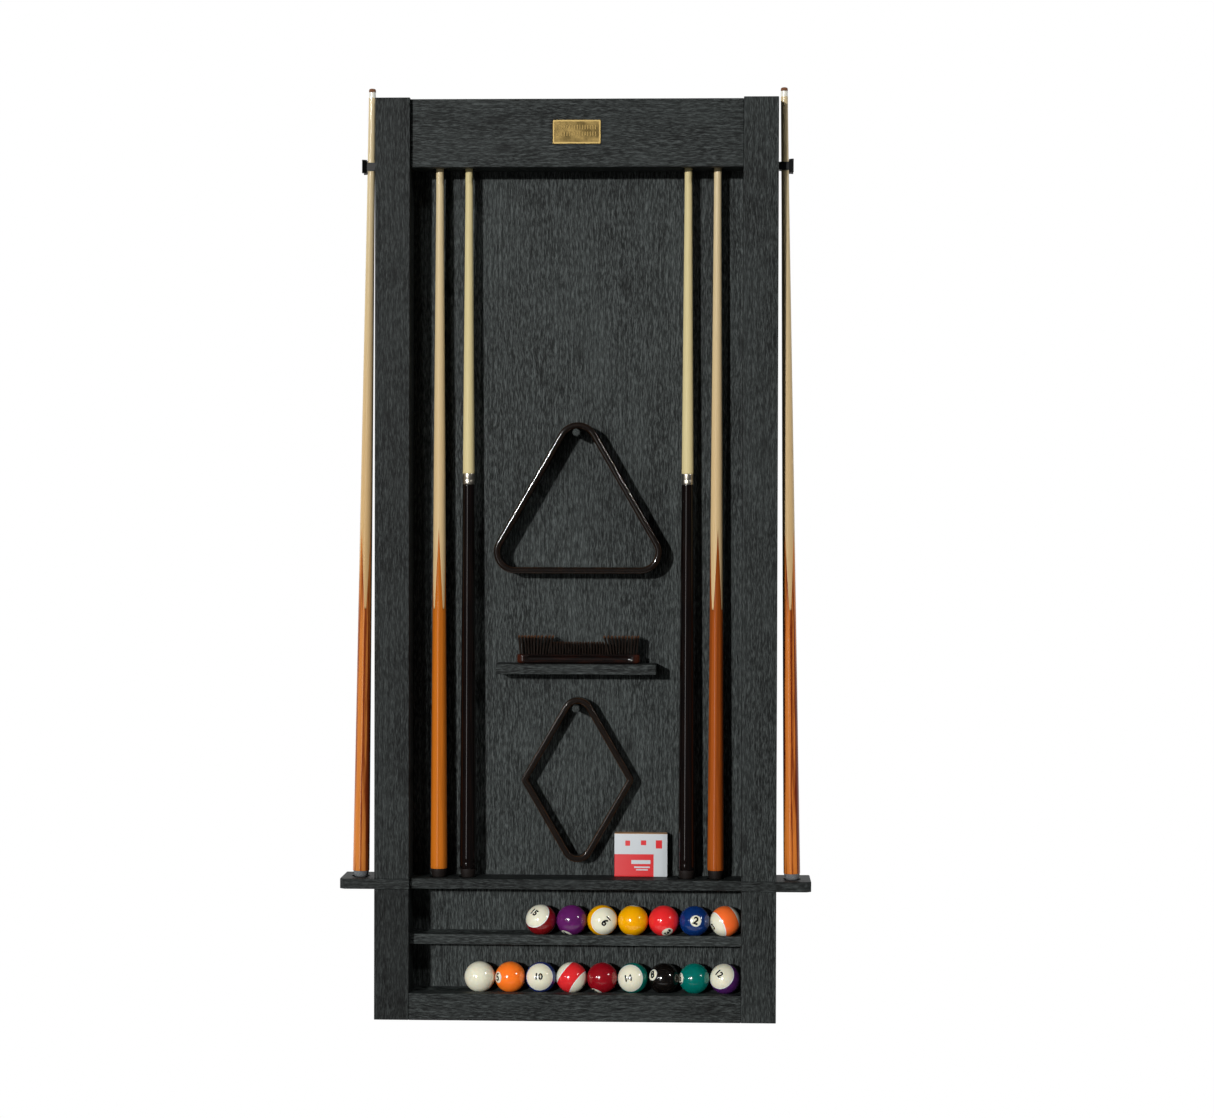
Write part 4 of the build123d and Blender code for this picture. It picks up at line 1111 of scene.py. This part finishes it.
FLOOR_Z = -0.50
FLOOR_R = 1.1
FLOOR_SLICES = 96
FLOOR_GREY = "#E8E7E4"
FLOOR_PALE = "#EFEEEC"
FLOOR_PER_METRE = 3.0
LAMPS = {
    # lamp: degrees to the right, degrees up, width in degrees, strength
    "key": (-23.0, 11.0, 2.5, 2.60),
    "second": (-42.5, 10.0, 2.0, 0.40),
    "rim": (57.0, 28.0, 2.2, 0.60),
}
FRONT_LIGHT = 0.045
WALL_LIGHT = 1.0

ring = np.linspace(0, 2 * math.pi, FLOOR_SLICES, endpoint=False)
edge = np.column_stack([FLOOR_R * np.cos(ring), FLOOR_R * np.sin(ring), np.full(FLOOR_SLICES, FLOOR_Z)])
floor_mesh = bpy.data.meshes.new("floor")
floor_mesh.from_pydata(edge.tolist(), [], [list(range(FLOOR_SLICES))])
shown("floor", floor_mesh)
material, tree = blank("pale_floor")
place = add(tree, "TexCoord", give="Object")
mottle = add(tree, "TexNoise", {"Vector": place, "Scale": FLOOR_PER_METRE, "Detail": 2.0})
tone = add(tree, "Mix", [mottle, FLOOR_GREY, FLOOR_PALE], data_type="RGBA")
floor_mesh.materials.append(shaded(material, tree, {"Base Color": tone, "Roughness": 0.8}))

for name, (right, rise, width, strength) in LAMPS.items():
    lamp = bpy.data.lights.new(name, "SUN")
    lamp.angle, lamp.energy = math.radians(width), strength
    shown(name, lamp).rotation_euler = (math.radians(90 - rise), 0.0, math.radians(right))

BANK_RIGHT = -23.0
BANK_DISTANCE = 4.5
BANK_SIZE = (0.45, 1.9)
BANK_Z = 0.55
BANK_POWER = 11.0
bank_light = bpy.data.lights.new("bank", "AREA")
bank_light.shape, bank_light.size, bank_light.size_y = "RECTANGLE", *BANK_SIZE
bank_light.energy = BANK_POWER
bank = shown("bank", bank_light)
bank_angle = math.radians(BANK_RIGHT)
bank.location = (BANK_DISTANCE * math.sin(bank_angle), -BANK_DISTANCE * math.cos(bank_angle), BANK_Z)
bank.rotation_euler = (math.radians(90), 0.0, bank_angle)

world = bpy.data.worlds.new("studio")
bpy.context.scene.world = world
world.use_nodes = True
tree = world.node_tree
tree.nodes.clear()
seen = add(tree, "LightPath", give="Is Camera Ray")
way = add(tree, "TexCoord", give="Generated")
deep = add(tree, "SeparateXYZ", {"Vector": way}, give="Y")
wall = add(tree, "MapRange", [deep, -0.12, 0.25, FRONT_LIGHT, WALL_LIGHT])
strength = add(tree, "Mix", [seen, wall, 1.0])
surround = add(tree, "Background", {"Color": (1, 1, 1, 1), "Strength": strength})
add(tree, "OutputWorld", {"Surface": surround})

LENS = 79.91
CAMERA_AT = (0.2506, -5.0199, 0.9328)
CAMERA_YAW = 2.216
CAMERA_PITCH = -0.875
CAMERA_ROLL = 0.151

yaw, pitch, roll = (math.radians(angle) for angle in (CAMERA_YAW, CAMERA_PITCH, CAMERA_ROLL))
forward = np.array([-math.sin(yaw) * math.cos(pitch), math.cos(yaw) * math.cos(pitch), math.sin(pitch)])
level = np.cross(forward, (0, 0, 1))
level /= np.linalg.norm(level)
upright = np.cross(level, forward)
right = level * math.cos(roll) + upright * math.sin(roll)
up = -level * math.sin(roll) + upright * math.cos(roll)
lens = bpy.data.cameras.new("camera")
lens.lens, lens.sensor_width = LENS, 36.0
camera = shown("camera", lens)
rows = np.column_stack([right, up, -forward, CAMERA_AT]).tolist()
camera.matrix_world = Matrix([*rows, [0, 0, 0, 1]])
bpy.context.scene.camera = camera
bpy.context.scene.view_settings.view_transform = "Standard"
